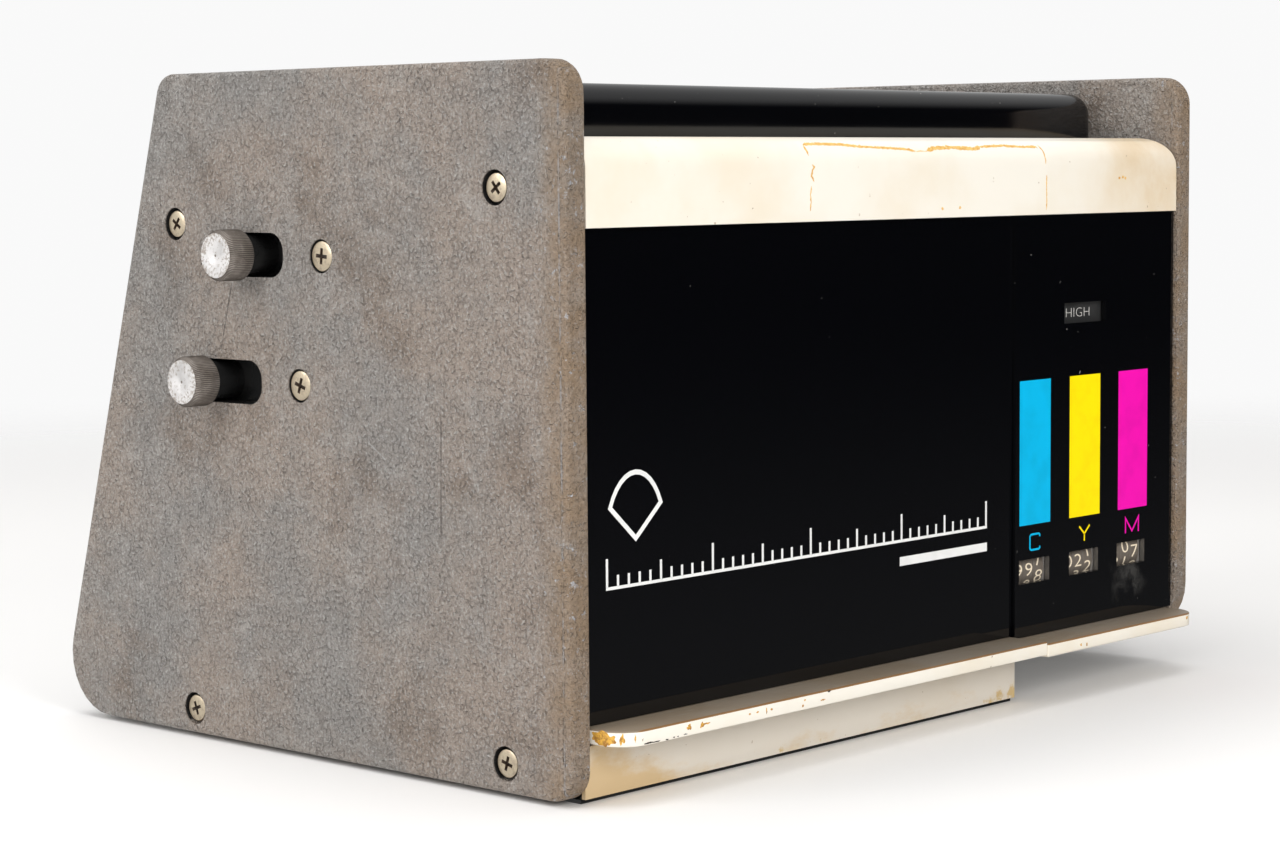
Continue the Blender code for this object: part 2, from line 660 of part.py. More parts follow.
def attenuator_arms(lever):
    """A flat arm under the filter guide, with a vane that shades part of the beam when it comes forward."""
    z = (111.5 * MM - lever["z"], 113 * MM - lever["z"])
    root = (150 * MM - lever["lever"], 168 * MM - lever["lever"])
    arm = box((INNER_L + OVER / 2, 144 * MM), root, z)
    vane = box((92.5 * MM, 144 * MM), (116 * MM - lever["lever"], root[1]), z)
    return [arm, vane]


def make_legend_flag(head, plastic):
    """Plate behind the upper window; it rises and falls with the attenuator."""
    y = RIGHT_PANEL_Y + PANEL_T + 0.5 * MM
    x = (LEGEND_X[0] - 3 * MM, LEGEND_X[1] + 7 * MM)
    flag = box(x, (y, y + PLATE_T), (120 * MM, 143 * MM))
    piece("legend_flag", plastic, flag, head)


# ---------------------------------------------------------------- counters

def counter_ears():
    """Low and high X of the bearing ears on either side of each counter's wheels."""
    side = 1.5 * WHEEL_PITCH + GAP
    for x in COUNTER_X:
        yield (x - side - LEFT_EAR_T, x - side)
        yield (x + side, x + side + RIGHT_EAR_T)


def make_counters(head, metal, steel, plastic):
    z = (COUNTER_Z - 7 * MM, COUNTER_Z + 7 * MM)
    ears = list(counter_ears())
    ends = (ears[0][0] - GAP, ears[-1][1] + GAP)
    web = (COUNTER_Y + WHEEL_R + 1.5 * MM, COUNTER_Y + WHEEL_R + 3 * MM)
    back = box(ends, web, z)
    front = COUNTER_Y - WHEEL_R + GAP
    plates = [box(ear, (front, web[0] + 0.5 * MM), z) for ear in ears]
    bore = rod(AXLE_R + GAP, ends[0] - OVER, ends[1] + OVER, at=(0, COUNTER_Y, COUNTER_Z), sides=16)
    piece("counter_frame", metal, back, head, add=plates, cut=[bore])
    axle = rod(AXLE_R, ends[0] - GAP, ends[1] + GAP, sides=16)
    piece("counter_axle", steel, axle, head, at=(0, COUNTER_Y, COUNTER_Z))
    for colour, x in zip(COLOURS, COUNTER_X):
        for place, digit in enumerate(("hundreds", "tens", "units")):
            middle = x + (place - 1) * WHEEL_PITCH
            low = middle - WHEEL_W / 2
            high = middle + WHEEL_W / 2
            bore_r = AXLE_R + GAP
            profile = [(bore_r, low), (WHEEL_R, low), (WHEEL_R, high), (bore_r, high)]
            wheel = turned(profile, sides=20, ring=True)
            piece("wheel_" + colour + "_" + digit, plastic, wheel, head, at=(0, COUNTER_Y, COUNTER_Z))


# ---------------------------------------------------------------- back

def grille(centre_u, centre_v, radius, n, pitch=8 * MM, height=4.5 * MM):
    """Level slots that fill a circle."""
    slots = []
    count = int(radius / pitch)
    for k in range(-count, count + 1):
        half = math.sqrt(radius ** 2 - (k * pitch) ** 2)
        v = centre_v + k * pitch
        slots.append(box((centre_u - half, centre_u + half), n, (v - height / 2, v + height / 2)))
    return slots


def make_rear_cover(back, enamel):
    n = (COVER_N, COVER_N + SHEET)
    top = HOOD_LOW - GAP - n[1] * math.sin(SLOPE)
    v = (20 * MM, top / math.cos(SLOPE))
    through = (n[0] - OVER, n[1] + OVER)
    cuts = grille(FAN_U, FAN_V, 36 * MM, through)
    half_u = 14 * MM + GAP
    half_v = 10 * MM + GAP
    cuts.append(box((INLET_U - half_u, INLET_U + half_u), through, (INLET_V - half_v, INLET_V + half_v)))
    for k in range(9):
        u = 90 * MM + k * 8 * MM
        cuts.append(box((u - 2 * MM, u + 2 * MM), through, (118 * MM, 158 * MM)))
    piece("rear_cover", enamel, box((INNER_L, INNER_R), n, v), back, cut=cuts)


def make_fan(back, plastic):
    """Square frame with a motor boss on three struts, and a five-bladed rotor."""
    hub = parent_empty("fan_axis", (FAN_U, COVER_N - GAP, FAN_V), parent=back)
    half = FAN_SIZE / 2
    frame = box((-half, half), (-FAN_DEPTH, 0), (-half, half))
    tunnel = rod(half - 2 * MM, -FAN_DEPTH - OVER, OVER, "Y", sides=36)
    housing = piece("fan_housing", plastic, frame, hub)
    tool(housing, tunnel, "DIFFERENCE")
    strut = (-FAN_DEPTH, -FAN_DEPTH + 4 * MM)
    struts = [box((-half + OVER, half - OVER), strut, (-2 * MM, 2 * MM)), rod(16 * MM, *strut, "Y")]
    for extra in struts:
        tool(housing, extra, "UNION")
    rotor = rod(17 * MM, -FAN_DEPTH + 5 * MM, -2 * MM, "Y", sides=24)
    blades = []
    for k in range(5):
        blade = box((14 * MM, half - 4 * MM), (-17 * MM, -4 * MM), (-0.8 * MM, 0.8 * MM))
        twist = Matrix.Rotation(math.radians(35), 4, "X")
        turn = Matrix.Rotation(2 * math.pi * k / 5, 4, "Y")
        middle = Matrix.Translation((0, -10.5 * MM, 0))
        blade.transform(turn @ middle @ twist @ middle.inverted())
        blades.append(blade)
    piece("fan_rotor", plastic, rotor, hub, add=blades)


def make_power_inlet(back, plastic):
    """Three-pin socket in the rear cover: flange, body, recess and pins."""
    seat = parent_empty("inlet_axis", (INLET_U, COVER_N + SHEET + GAP, INLET_V), parent=back)
    flange = box((-19 * MM, 19 * MM), (0, 2.5 * MM), (-14 * MM, 14 * MM))
    body = box((-14 * MM, 14 * MM), (-22 * MM, OVER), (-10 * MM, 10 * MM))
    recess = box((-12 * MM, 12 * MM), (-16 * MM, 4 * MM), (-8 * MM, 8 * MM))
    inlet = piece("power_inlet", plastic, flange, seat, add=[body])
    tool(inlet, recess, "DIFFERENCE")
    for u, v in ((-7 * MM, -2 * MM), (0, 2 * MM), (7 * MM, -2 * MM)):
        tool(inlet, box((u - OVER, u + OVER), (-17 * MM, -8 * MM), (v - 2 * MM, v + 2 * MM)), "UNION")


# ---------------------------------------------------------------- assembly

def centre_on_floor(head):
    """Moves the head so that the middle of its footprint is the world origin."""
    bpy.context.view_layer.update()
    low = Vector((math.inf,) * 3)
    high = Vector((-math.inf,) * 3)
    for shown in bpy.data.objects:
        if shown.type != "MESH" or shown.hide_render:
            continue
        for vert in shown.data.vertices:
            point = shown.matrix_world @ vert.co
            low = Vector(map(min, low, point))
            high = Vector(map(max, high, point))
    head.location = (-(low.x + high.x) / 2, -(low.y + high.y) / 2, -low.z)
    print("head_origin", [round(v, 7) for v in head.location])


def main():
    for old in list(bpy.data.objects):
        bpy.data.objects.remove(old, do_unlink=True)
    head = parent_empty("head_origin", (0, 0, 0))
    back = parent_empty("back_slope", (0, DEPTH_LOW, 0), tilt=SLOPE, parent=head)
    paint = crackle_paint()
    cream = cream_enamel()
    sheet = black_sheet()
    plastic = black_plastic()
    zinc = zinc_sheet()
    nickel = nickel_screw()
    make_left_cheek(head, paint)
    make_right_cheek(head, paint)
    make_cheek_screws(head, nickel)
    make_base_plate(head, sheet)
    make_front_panels(head, black_glass())
    make_top_trim(head, cream)
    make_ledges(head, cream)
    make_skirt(head, cream)
    make_hood(head, black_enamel())
    make_floors(head, zinc)
    make_mixing_chamber(head, white_foam(), opal_sheet())
    make_filter_guide(head, zinc)
    make_lamp(head, zinc, lamp_glass(), ceramic())
    for colour in COLOURS:
        make_filter(head, colour, zinc, filter_glass(colour), plastic)
    make_screw_bracket(head, zinc)
    knob_metal = turned_aluminium()
    make_lever(head, "white_light", WHITE_LIGHT, WHITE_LIGHT_TRAVEL, sheet, knob_metal, white_light_arms())
    arms = attenuator_arms(ATTENUATOR)
    make_lever(head, "attenuator", ATTENUATOR, ATTENUATOR_TRAVEL, sheet, knob_metal, arms)
    make_legend_flag(head, plastic)
    make_counters(head, zinc, nickel, plastic)
    make_rear_cover(back, sheet)
    make_fan(back, plastic)
    make_power_inlet(back, plastic)
    centre_on_floor(head)


main()
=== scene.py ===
import math
import random

import bmesh
import bpy
from mathutils import Matrix, Vector


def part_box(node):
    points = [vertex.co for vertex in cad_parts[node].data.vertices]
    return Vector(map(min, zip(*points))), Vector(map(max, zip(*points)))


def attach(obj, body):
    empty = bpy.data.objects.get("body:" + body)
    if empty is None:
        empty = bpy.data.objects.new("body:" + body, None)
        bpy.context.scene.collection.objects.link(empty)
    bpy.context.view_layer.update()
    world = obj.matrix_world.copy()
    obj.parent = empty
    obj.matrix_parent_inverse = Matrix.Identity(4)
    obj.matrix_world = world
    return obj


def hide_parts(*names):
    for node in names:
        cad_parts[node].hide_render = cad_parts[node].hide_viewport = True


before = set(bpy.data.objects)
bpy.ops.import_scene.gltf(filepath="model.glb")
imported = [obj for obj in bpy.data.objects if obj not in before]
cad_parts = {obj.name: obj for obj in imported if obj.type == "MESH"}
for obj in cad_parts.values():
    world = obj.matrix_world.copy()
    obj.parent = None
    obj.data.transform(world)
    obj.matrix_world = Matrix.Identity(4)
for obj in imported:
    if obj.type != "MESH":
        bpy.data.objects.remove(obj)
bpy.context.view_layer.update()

# Pieces that stand for CAD nodes are sized from the nodes' boxes.  Printing, wear, the outer screws and
# the window walls are placed by typed "head" coordinates in millimetres, which run from the left cheek's
# outer face (x), the cheeks' front edge (y) and the surface underneath (z).
MM = 0.001
CHEEK_LOW, CHEEK_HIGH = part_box("left_cheek")
ORIGIN = Vector((CHEEK_LOW.x, CHEEK_LOW.y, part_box("base_plate")[0].z))
COLOURS = ("cyan", "yellow", "magenta")
FLUTES = 78                           # ridges round a lever knob
TRIM_RADIUS = 9.5 * MM                # outside of the trim's rolled edge
LEDGE_RADIUS = 10 * MM                # the ledges' rounded outer ends
HOOD_SLOPE = 62.3 / 220.0             # how far the back leans forward for each metre up
PRINT_OUT, PRINT_IN = 0.06, 0.02      # how far printing stands off a panel and reaches into it, in mm
FIGURE_HEIGHT = 4.57 * MM
FIGURE_STRETCH, FIGURE_WEIGHT = 1.55, -0.008
FIGURE_TURN = math.radians(36)        # ten figures to a wheel
TURNED_LINES = 22000.0                # radians of turning mark for each metre out from a knob's axis
WINDOW_ENDS = (247.8, 278.8, 309.6)   # right-hand walls of the counter windows, across the head
WALL_GREY = (0.13, 0.12, 0.11)        # paint for those walls, where the photograph shows plain grey
INK = dict(cyan=(0.0, 0.44, 0.75), yellow=(0.98, 0.74, 0.0), magenta=(0.85, 0.003, 0.41))
READING = dict(cyan=(9.03, 9.03, 7.55), yellow=(0.04, 2.04, 1.56), magenta=(1.41, 0.35, 6.99))
SCREW_TURN = dict(
    cheek_screw_low_front=15, cheek_screw_low_rear=70, cheek_screw_top_front=52,
    cheek_screw_top_rear=35, guide_screw_lower=18, guide_screw_upper=5,
)


def head(x, y, z):
    """A point given in millimetres in head coordinates."""
    return ORIGIN + Vector((x, y, z)) * MM


# One coordinate of a head point, in metres.
def at_x(x):
    return head(x, 0, 0).x


def at_y(y):
    return head(0, y, 0).y


def at_z(z):
    return head(0, 0, z).z


# ---------------------------------------------------------------- shader building

def start_material(name, roughness=0.5, metallic=0.0, colour=(0.5, 0.5, 0.5)):
    material = bpy.data.materials.new(name)
    material.use_nodes = True
    tree = material.node_tree
    shader = tree.nodes["Principled BSDF"]
    shader.inputs["Base Color"].default_value = (*colour, 1)
    shader.inputs["Roughness"].default_value = roughness
    shader.inputs["Metallic"].default_value = metallic
    coords = tree.nodes.new("ShaderNodeTexCoord").outputs["Object"]
    return material, tree, shader, coords


def feed(tree, socket, value):
    """Links an output, or sets a plain value."""
    if isinstance(value, bpy.types.NodeSocket):
        tree.links.new(value, socket)
    else:
        socket.default_value = value


def noise(tree, coords, scale, detail=4.0, rough=0.55, distortion=0.0):
    node = tree.nodes.new("ShaderNodeTexNoise")
    node.inputs["Scale"].default_value = scale
    node.inputs["Detail"].default_value = detail
    node.inputs["Roughness"].default_value = rough
    node.inputs["Distortion"].default_value = distortion
    tree.links.new(coords, node.inputs["Vector"])
    return node.outputs["Fac"]


def cells(tree, coords, scale, feature="DISTANCE_TO_EDGE"):
    node = tree.nodes.new("ShaderNodeTexVoronoi")
    node.feature = feature
    node.inputs["Scale"].default_value = scale
    tree.links.new(coords, node.inputs["Vector"])
    return node.outputs["Distance"]


def calc(tree, operation, a, b=0.0, c=0.0):
    node = tree.nodes.new("ShaderNodeMath")
    node.operation = operation
    for socket, value in zip(node.inputs, (a, b, c)):
        feed(tree, socket, value)
    return node.outputs[0]


def times(tree, a, b):
    return calc(tree, "MULTIPLY", a, b)


def plus(tree, a, b):
    return calc(tree, "ADD", a, b)


def minus(tree, a, b):
    return calc(tree, "SUBTRACT", a, b)


def span(tree, value, low, high, to_low=0.0, to_high=1.0):
    """Maps a range smoothly, clamped at both ends."""
    node = tree.nodes.new("ShaderNodeMapRange")
    node.interpolation_type = "SMOOTHSTEP"
    for name, number in (("From Min", low), ("From Max", high), ("To Min", to_low), ("To Max", to_high)):
        node.inputs[name].default_value = number
    tree.links.new(value, node.inputs["Value"])
    return node.outputs["Result"]


def blend(tree, amount, first, second):
    node = tree.nodes.new("ShaderNodeMix")
    node.data_type = "RGBA"
    feed(tree, node.inputs["Factor"], amount)
    for socket, colour in ((node.inputs[6], first), (node.inputs[7], second)):
        feed(tree, socket, (*colour, 1) if isinstance(colour, tuple) else colour)
    return node.outputs[2]


def axes_of(tree, coords):
    node = tree.nodes.new("ShaderNodeSeparateXYZ")
    tree.links.new(coords, node.inputs[0])
    return node.outputs


def moved(tree, coords, amount, by):
    """Coordinates pushed about by a noise, so that lines and cells wander."""
    node = tree.nodes.new("ShaderNodeTexNoise")
    node.inputs["Scale"].default_value = by
    tree.links.new(coords, node.inputs["Vector"])
    shift = tree.nodes.new("ShaderNodeVectorMath")
    shift.operation = "MULTIPLY_ADD"
    tree.links.new(node.outputs["Color"], shift.inputs[0])
    shift.inputs[1].default_value = (amount, amount, amount)
    tree.links.new(coords, shift.inputs[2])
    return shift.outputs[0]


def stretched(tree, coords, scale):
    node = tree.nodes.new("ShaderNodeMapping")
    node.inputs["Scale"].default_value = scale
    tree.links.new(coords, node.inputs["Vector"])
    return node.outputs[0]


def bump(tree, shader, height, distance, strength=1.0, under=None):
    node = tree.nodes.new("ShaderNodeBump")
    node.inputs["Distance"].default_value = distance
    node.inputs["Strength"].default_value = strength
    tree.links.new(height, node.inputs["Height"])
    if under is not None:
        tree.links.new(under, node.inputs["Normal"])
    tree.links.new(node.outputs[0], shader.inputs["Normal"])
    return node.outputs[0]


# ---------------------------------------------------------------- materials

def crackle_paint():
    """Grey-taupe crackle paint: embossed grain, broken cracks, brown patches, pale chips near the edges, and
    near-black painted shade on the walls of holes through the left cheek.
    """
    material, tree, shader, coords = start_material("crackle_paint")
    wander = moved(tree, coords, 0.001, 330)
    crack = cells(tree, wander, 480)
    grain = noise(tree, coords, 1050, 4, 0.6)
    broad = noise(tree, coords, 17, 5, 0.6)
    middle = noise(tree, coords, 85, 5, 0.65)
    colour = blend(tree, span(tree, broad, 0.36, 0.64), (0.395, 0.325, 0.272), (0.315, 0.296, 0.276))
    colour = blend(tree, span(tree, middle, 0.5, 0.74, 0.0, 0.6), colour, (0.46, 0.43, 0.40))
    brown = span(tree, noise(tree, coords, 24, 5, 0.6), 0.55, 0.72, 0.0, 0.6)
    colour = blend(tree, brown, colour, (0.20, 0.137, 0.09))
    colour = blend(tree, span(tree, grain, 0.5, 0.3, 0.0, 0.4), colour, (0.115, 0.095, 0.08))
    colour = blend(tree, span(tree, grain, 0.52, 0.68, 0.0, 0.55), colour, (0.60, 0.585, 0.57))
    line = span(tree, crack, 0.0, 0.13, 1.0, 0.0)
    line = times(tree, line, span(tree, noise(tree, coords, 260, 3), 0.40, 0.60))
    colour = blend(tree, times(tree, line, 0.45), colour, (0.055, 0.042, 0.034))
    x, y, z = axes_of(tree, coords)
    front = ORIGIN.y
    edge = span(tree, y, front + 2.4 * MM, front + 15 * MM, 1.0, 0.0)
    worn = times(tree, edge, span(tree, noise(tree, coords, 60, 4), 0.3, 0.62, 0.35, 0.85))
    colour = blend(tree, worn, colour, (0.33, 0.225, 0.135))
    near = span(tree, y, front + 3 * MM, front + 46 * MM, -0.02, 0.13)
    chips = minus(tree, noise(tree, coords, 400, 9, 0.8), near)
    chips = times(tree, span(tree, chips, 0.60, 0.64), span(tree, middle, 0.42, 0.58, 0.3, 0.95))
    colour = blend(tree, chips, colour, (0.56, 0.57, 0.61))
    ridge = calc(tree, "ABSOLUTE", minus(tree, y, front + 2.9 * MM))
    ridge = span(tree, ridge, 0.1 * MM, 0.6 * MM, 1.0, 0.0)
    # Along the ridge 2.9 mm in from the front edge, the paint is paler in patches.
    pale_ridge_patches = times(tree, ridge, span(tree, noise(tree, coords, 130, 5, 0.7), 0.42, 0.62))
    colour = blend(tree, times(tree, pale_ridge_patches, 0.75), colour, (0.42, 0.40, 0.40))
    for start, end, tone in SCRATCHES:
        colour = scratch(tree, coords, y, z, colour, start, end, tone)
    # Walls of holes through the left cheek, kept clear of its rims and faces, are painted near black:
    # painted shade inside the holes.
    rim = 4.5 * MM
    inside = span(tree, x, CHEEK_LOW.x + 0.35 * MM, CHEEK_LOW.x + 0.6 * MM)
    inside = times(tree, inside, span(tree, y, front + rim, front + rim + MM))
    inside = times(tree, inside, span(tree, z, CHEEK_LOW.z + rim - MM, CHEEK_LOW.z + rim))
    inside = times(tree, inside, span(tree, z, CHEEK_HIGH.z - rim, CHEEK_HIGH.z - rim - MM))
    slope = calc(tree, "MULTIPLY_ADD", z, 0.283, y)
    back = at_y(248) + 0.283 * ORIGIN.z
    inside = times(tree, inside, span(tree, slope, back - rim, back - rim - MM))
    inside = times(tree, inside, span(tree, x, CHEEK_HIGH.x - 0.1 * MM, CHEEK_HIGH.x - 0.4 * MM))
    colour = blend(tree, inside, colour, (0.018, 0.016, 0.015))
    tree.links.new(colour, shader.inputs["Base Color"])
    tree.links.new(span(tree, middle, 0.3, 0.7, 0.40, 0.60), shader.inputs["Roughness"])
    normal = bump(tree, shader, span(tree, crack, 0.0, 0.30), 0.00045, 0.9)
    normal = bump(tree, shader, ridge, 0.0005, 0.9, normal)
    bump(tree, shader, grain, 0.002, 1.0, normal)
    return material


SCRATCHES = (
    ((150.1, 152.4), (156.3, 130.1), (0.07, 0.06, 0.05)),
    ((53.3, 112.6), (54.0, 76.6), (0.07, 0.055, 0.045)),
    ((84.1, 55.7), (80.5, 52.0), (0.50, 0.49, 0.48)),
    ((86.6, 104.3), (78.1, 98.9), (0.48, 0.47, 0.46)),
)


def scratch(tree, coords, y, z, colour, start, end, tone):
    """A hairline across the left cheek, between two (y, z) points in head millimetres."""
    a = head(0, *start)
    b = head(0, *end)
    along = (b - a).normalized()
    over = Vector((0, -along.z, along.y))
    off = calc(tree, "MULTIPLY_ADD", y, over.y, times(tree, z, over.z))
    off = calc(tree, "ABSOLUTE", minus(tree, off, over.dot(a)))
    travel = calc(tree, "MULTIPLY_ADD", y, along.y, times(tree, z, along.z))
    hair = span(tree, off, 0.12 * MM, 0.35 * MM, 0.8, 0.0)
    hair = times(tree, hair, span(tree, travel, along.dot(a), along.dot(a) + MM))
    hair = times(tree, hair, span(tree, travel, along.dot(b), along.dot(b) - MM))
    hair = times(tree, hair, span(tree, noise(tree, coords, 300, 3), 0.35, 0.55, 0.4, 1.0))
    return blend(tree, hair, colour, tone)


def cream_enamel(name, tan=False, rust_and_skirt_shade=False):
    """Yellowed satin enamel; the trim is tanned towards its right end, the ledge and skirt carry rust
    stains, and the skirt under the ledge is painted greyer as painted shade.
    """
    material, tree, shader, coords = start_material(name, roughness=0.34)
    shader.inputs["Coat Weight"].default_value = 0.25
    shader.inputs["Coat Roughness"].default_value = 0.2
    axes = axes_of(tree, coords)
    x, z = axes[0], axes[2]
    patch = span(tree, noise(tree, coords, 18, 5), 0.4, 0.75)
    colour = blend(tree, patch, (0.93, 0.88, 0.78), (0.88, 0.79, 0.64))
    if tan:
        toward = span(tree, x, at_x(245), at_x(328))
        cloud = span(tree, noise(tree, coords, 34, 5, 0.6), 0.32, 0.72)
        amount = times(tree, toward, calc(tree, "MULTIPLY_ADD", cloud, 0.55, 0.3))
        colour = blend(tree, amount, colour, (0.68, 0.47, 0.23))
    if rust_and_skirt_shade:
        # The skirt below the ledge is painted greyer all over: painted shade under the ledge's overhang. The
        # same mask keeps the rust below on the skirt.
        skirt = span(tree, z, at_z(17.6), at_z(18.4), 1.0, 0.0)
        colour = blend(tree, times(tree, skirt, 0.6), colour, (0.60, 0.54, 0.47))
        left = at_x(8.6)
        end = span(tree, x, left, left + 62 * MM, 0.34, 0.0)
        foot = span(tree, z, at_z(2), at_z(14), 0.16, -0.05)
        field = noise(tree, stretched(tree, coords, (0.6, 1, 1.3)), 60, 6, 0.65)
        field = plus(tree, plus(tree, field, end), foot)
        amount = times(tree, span(tree, field, 0.62, 0.95, 0.0, 0.7), skirt)
        colour = blend(tree, amount, colour, (0.62, 0.40, 0.14))
        corner = minus(tree, span(tree, x, at_x(205), at_x(228)), span(tree, z, at_z(3), at_z(10)))
        speckle = plus(tree, noise(tree, coords, 160, 5, 0.7), times(tree, corner, 0.22))
        amount = times(tree, span(tree, speckle, 0.62, 0.75, 0.0, 0.75), skirt)
        colour = blend(tree, amount, colour, (0.60, 0.40, 0.12))
        spot = calc(tree, "ABSOLUTE", minus(tree, x, at_x(232)))
        spot = times(tree, span(tree, spot, MM, 7 * MM, 0.45, 0.0), span(tree, field, 0.4, 0.6))
        colour = blend(tree, spot, colour, (0.72, 0.52, 0.22))
    speck = span(tree, noise(tree, coords, 420, 2), 0.75, 0.77)
    colour = blend(tree, times(tree, speck, 0.7), colour, (0.35, 0.24, 0.14))
    tree.links.new(colour, shader.inputs["Base Color"])
    bump(tree, shader, noise(tree, coords, 260, 3), 0.00006, 0.5)
    return material


def deposit(name, colour, dark):
    """Rust or dried glue: orange-brown, darker in blotches, with a dry crust; also the dark brown painted
    shade in the screws' cross recesses.
    """
    material, tree, shader, coords = start_material(name, roughness=0.6)
    blotch = span(tree, noise(tree, coords, 700, 5, 0.7), 0.42, 0.62)
    tree.links.new(blend(tree, blotch, colour, dark), shader.inputs["Base Color"])
    bump(tree, shader, noise(tree, coords, 1400, 3), 0.0002, 0.8)
    return material


def ledge_top(name):
    """The ledge's upper face: taupe, dulled and dusty."""
    material, tree, shader, coords = start_material(name, roughness=0.42)
    fine = noise(tree, stretched(tree, coords, (0.25, 1, 1)), 700, 3)
    patch = noise(tree, coords, 28, 4)
    colour = blend(tree, span(tree, patch, 0.35, 0.7), (0.27, 0.212, 0.15), (0.30, 0.25, 0.195))
    colour = blend(tree, span(tree, fine, 0.55, 0.75, 0.0, 0.35), colour, (0.34, 0.31, 0.27))
    y = axes_of(tree, coords)[1]
    lip = at_y(-12.8)
    wave = times(tree, noise(tree, coords, 40, 3), 0.9 * MM)
    rim = span(tree, minus(tree, y, wave), lip - 0.1 * MM, lip + 0.5 * MM, 0.9, 0.0)
    colour = blend(tree, rim, colour, (0.26, 0.12, 0.03))
    tree.links.new(colour, shader.inputs["Base Color"])
    bump(tree, shader, fine, 0.00005, 0.4)
    return material


def black_gloss(name, dust, roughness, smear=False):
    """Deep black gloss with fine dust and faint smudges."""
    material, tree, shader, coords = start_material(name)
    specks = span(tree, noise(tree, coords, 620, 2), 0.765 - dust, 0.79 - dust)
    sparse = span(tree, noise(tree, coords, 35, 3), 0.45, 0.6)
    dusty = times(tree, specks, sparse)
    haze = noise(tree, coords, 26, 5, 0.6)
    if smear:
        x, y, z = axes_of(tree, coords)
        dx = calc(tree, "DIVIDE", minus(tree, x, at_x(296)), 17 * MM)
        dz = calc(tree, "DIVIDE", minus(tree, z, at_z(36)), 9 * MM)
        far = plus(tree, times(tree, dx, dx), times(tree, dz, dz))
        streaks = span(tree, noise(tree, coords, 110, 5, 0.65), 0.42, 0.72)
        dirt = times(tree, span(tree, far, 0.2, 1.1, 1.0, 0.0), streaks)
        dusty = calc(tree, "MAXIMUM", dusty, times(tree, dirt, 0.16))
    colour = blend(tree, dusty, (0.0012, 0.0013, 0.002), (0.30, 0.29, 0.27))
    if smear:
        for edge in WINDOW_ENDS:
            off = calc(tree, "ABSOLUTE", minus(tree, x, at_x(edge)))
            behind_face = calc(tree, "GREATER_THAN", y, at_y(1.8))
            wall = times(tree, calc(tree, "LESS_THAN", off, 0.03 * MM), behind_face)
            colour = blend(tree, wall, colour, WALL_GREY)
    tree.links.new(colour, shader.inputs["Base Color"])
    rough = plus(tree, span(tree, haze, 0.4, 0.8, roughness, roughness + 0.06), times(tree, dusty, 0.4))
    tree.links.new(rough, shader.inputs["Roughness"])
    return material


def plain_black(name, base=0.012, roughness=0.5, grain=500):
    """Moulded plastic or painted sheet, with a fine grain and rubbed patches."""
    material, tree, shader, coords = start_material(name)
    rub = noise(tree, coords, 45, 4)
    colour = blend(tree, span(tree, rub, 0.5, 0.8), (base, base, base), (base * 2.2, base * 2.1, base * 2.0))
    tree.links.new(colour, shader.inputs["Base Color"])
    tree.links.new(span(tree, rub, 0.3, 0.7, roughness - 0.08, roughness + 0.1), shader.inputs["Roughness"])
    bump(tree, shader, noise(tree, coords, grain, 3), 0.00008, 0.6)
    return material


def worn_metal(name, colour, dark, roughness, scale=160, grime=0.6, stretch=(1, 1, 1)):
    """Bright metal with dull patches and darker patches of grime."""
    material, tree, shader, coords = start_material(name, metallic=1.0)
    wide = noise(tree, coords, scale, 4, 0.65)
    fine = noise(tree, stretched(tree, coords, stretch), 1400, 3)
    tone = blend(tree, span(tree, wide, 0.42, 0.72, 0.0, grime), colour, dark)
    tree.links.new(tone, shader.inputs["Base Color"])
    tree.links.new(span(tree, wide, 0.3, 0.7, roughness, roughness + 0.2), shader.inputs["Roughness"])
    bump(tree, shader, fine, 0.00004, 0.6)
    return material


def round_axis(tree, coords, node):
    """How far across and up a point is from the axis of a knob along X, and the knob's radius."""
    low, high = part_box(node)
    axes = axes_of(tree, coords)
    across = minus(tree, axes[1], (low.y + high.y) / 2)
    up = minus(tree, axes[2], (low.z + high.z) / 2)
    return across, up, (high.z - low.z) / 2


def knob_side(node, count):
    """Knurled aluminium, with dark stripes painted round the knob's own axis, one to each flute: painted
    shade of the knurling.
    """
    material, tree, shader, coords = start_material(node + "_side", metallic=0.35)
    across, up = round_axis(tree, coords, node)[:2]
    # Dark stripes, one to each flute and patchy by a noise: painted shade of the knurling.
    groove = calc(tree, "COSINE", times(tree, calc(tree, "ARCTAN2", up, across), float(count)))
    patch = noise(tree, coords, 260, 4)
    tone = blend(tree, span(tree, patch, 0.35, 0.7), (0.27, 0.235, 0.205), (0.37, 0.33, 0.295))
    stripe_shade_patchiness = span(tree, noise(tree, coords, 500, 3), 0.3, 0.5, 0.5, 0.85)
    depth = times(tree, span(tree, groove, -0.5, 0.7), stripe_shade_patchiness)
    tone = blend(tree, depth, tone, (0.045, 0.036, 0.030))
    tree.links.new(tone, shader.inputs["Base Color"])
    tree.links.new(span(tree, patch, 0.3, 0.7, 0.45, 0.65), shader.inputs["Roughness"])
    bump(tree, shader, noise(tree, coords, 1500, 3), 0.00005, 0.6)
    return material


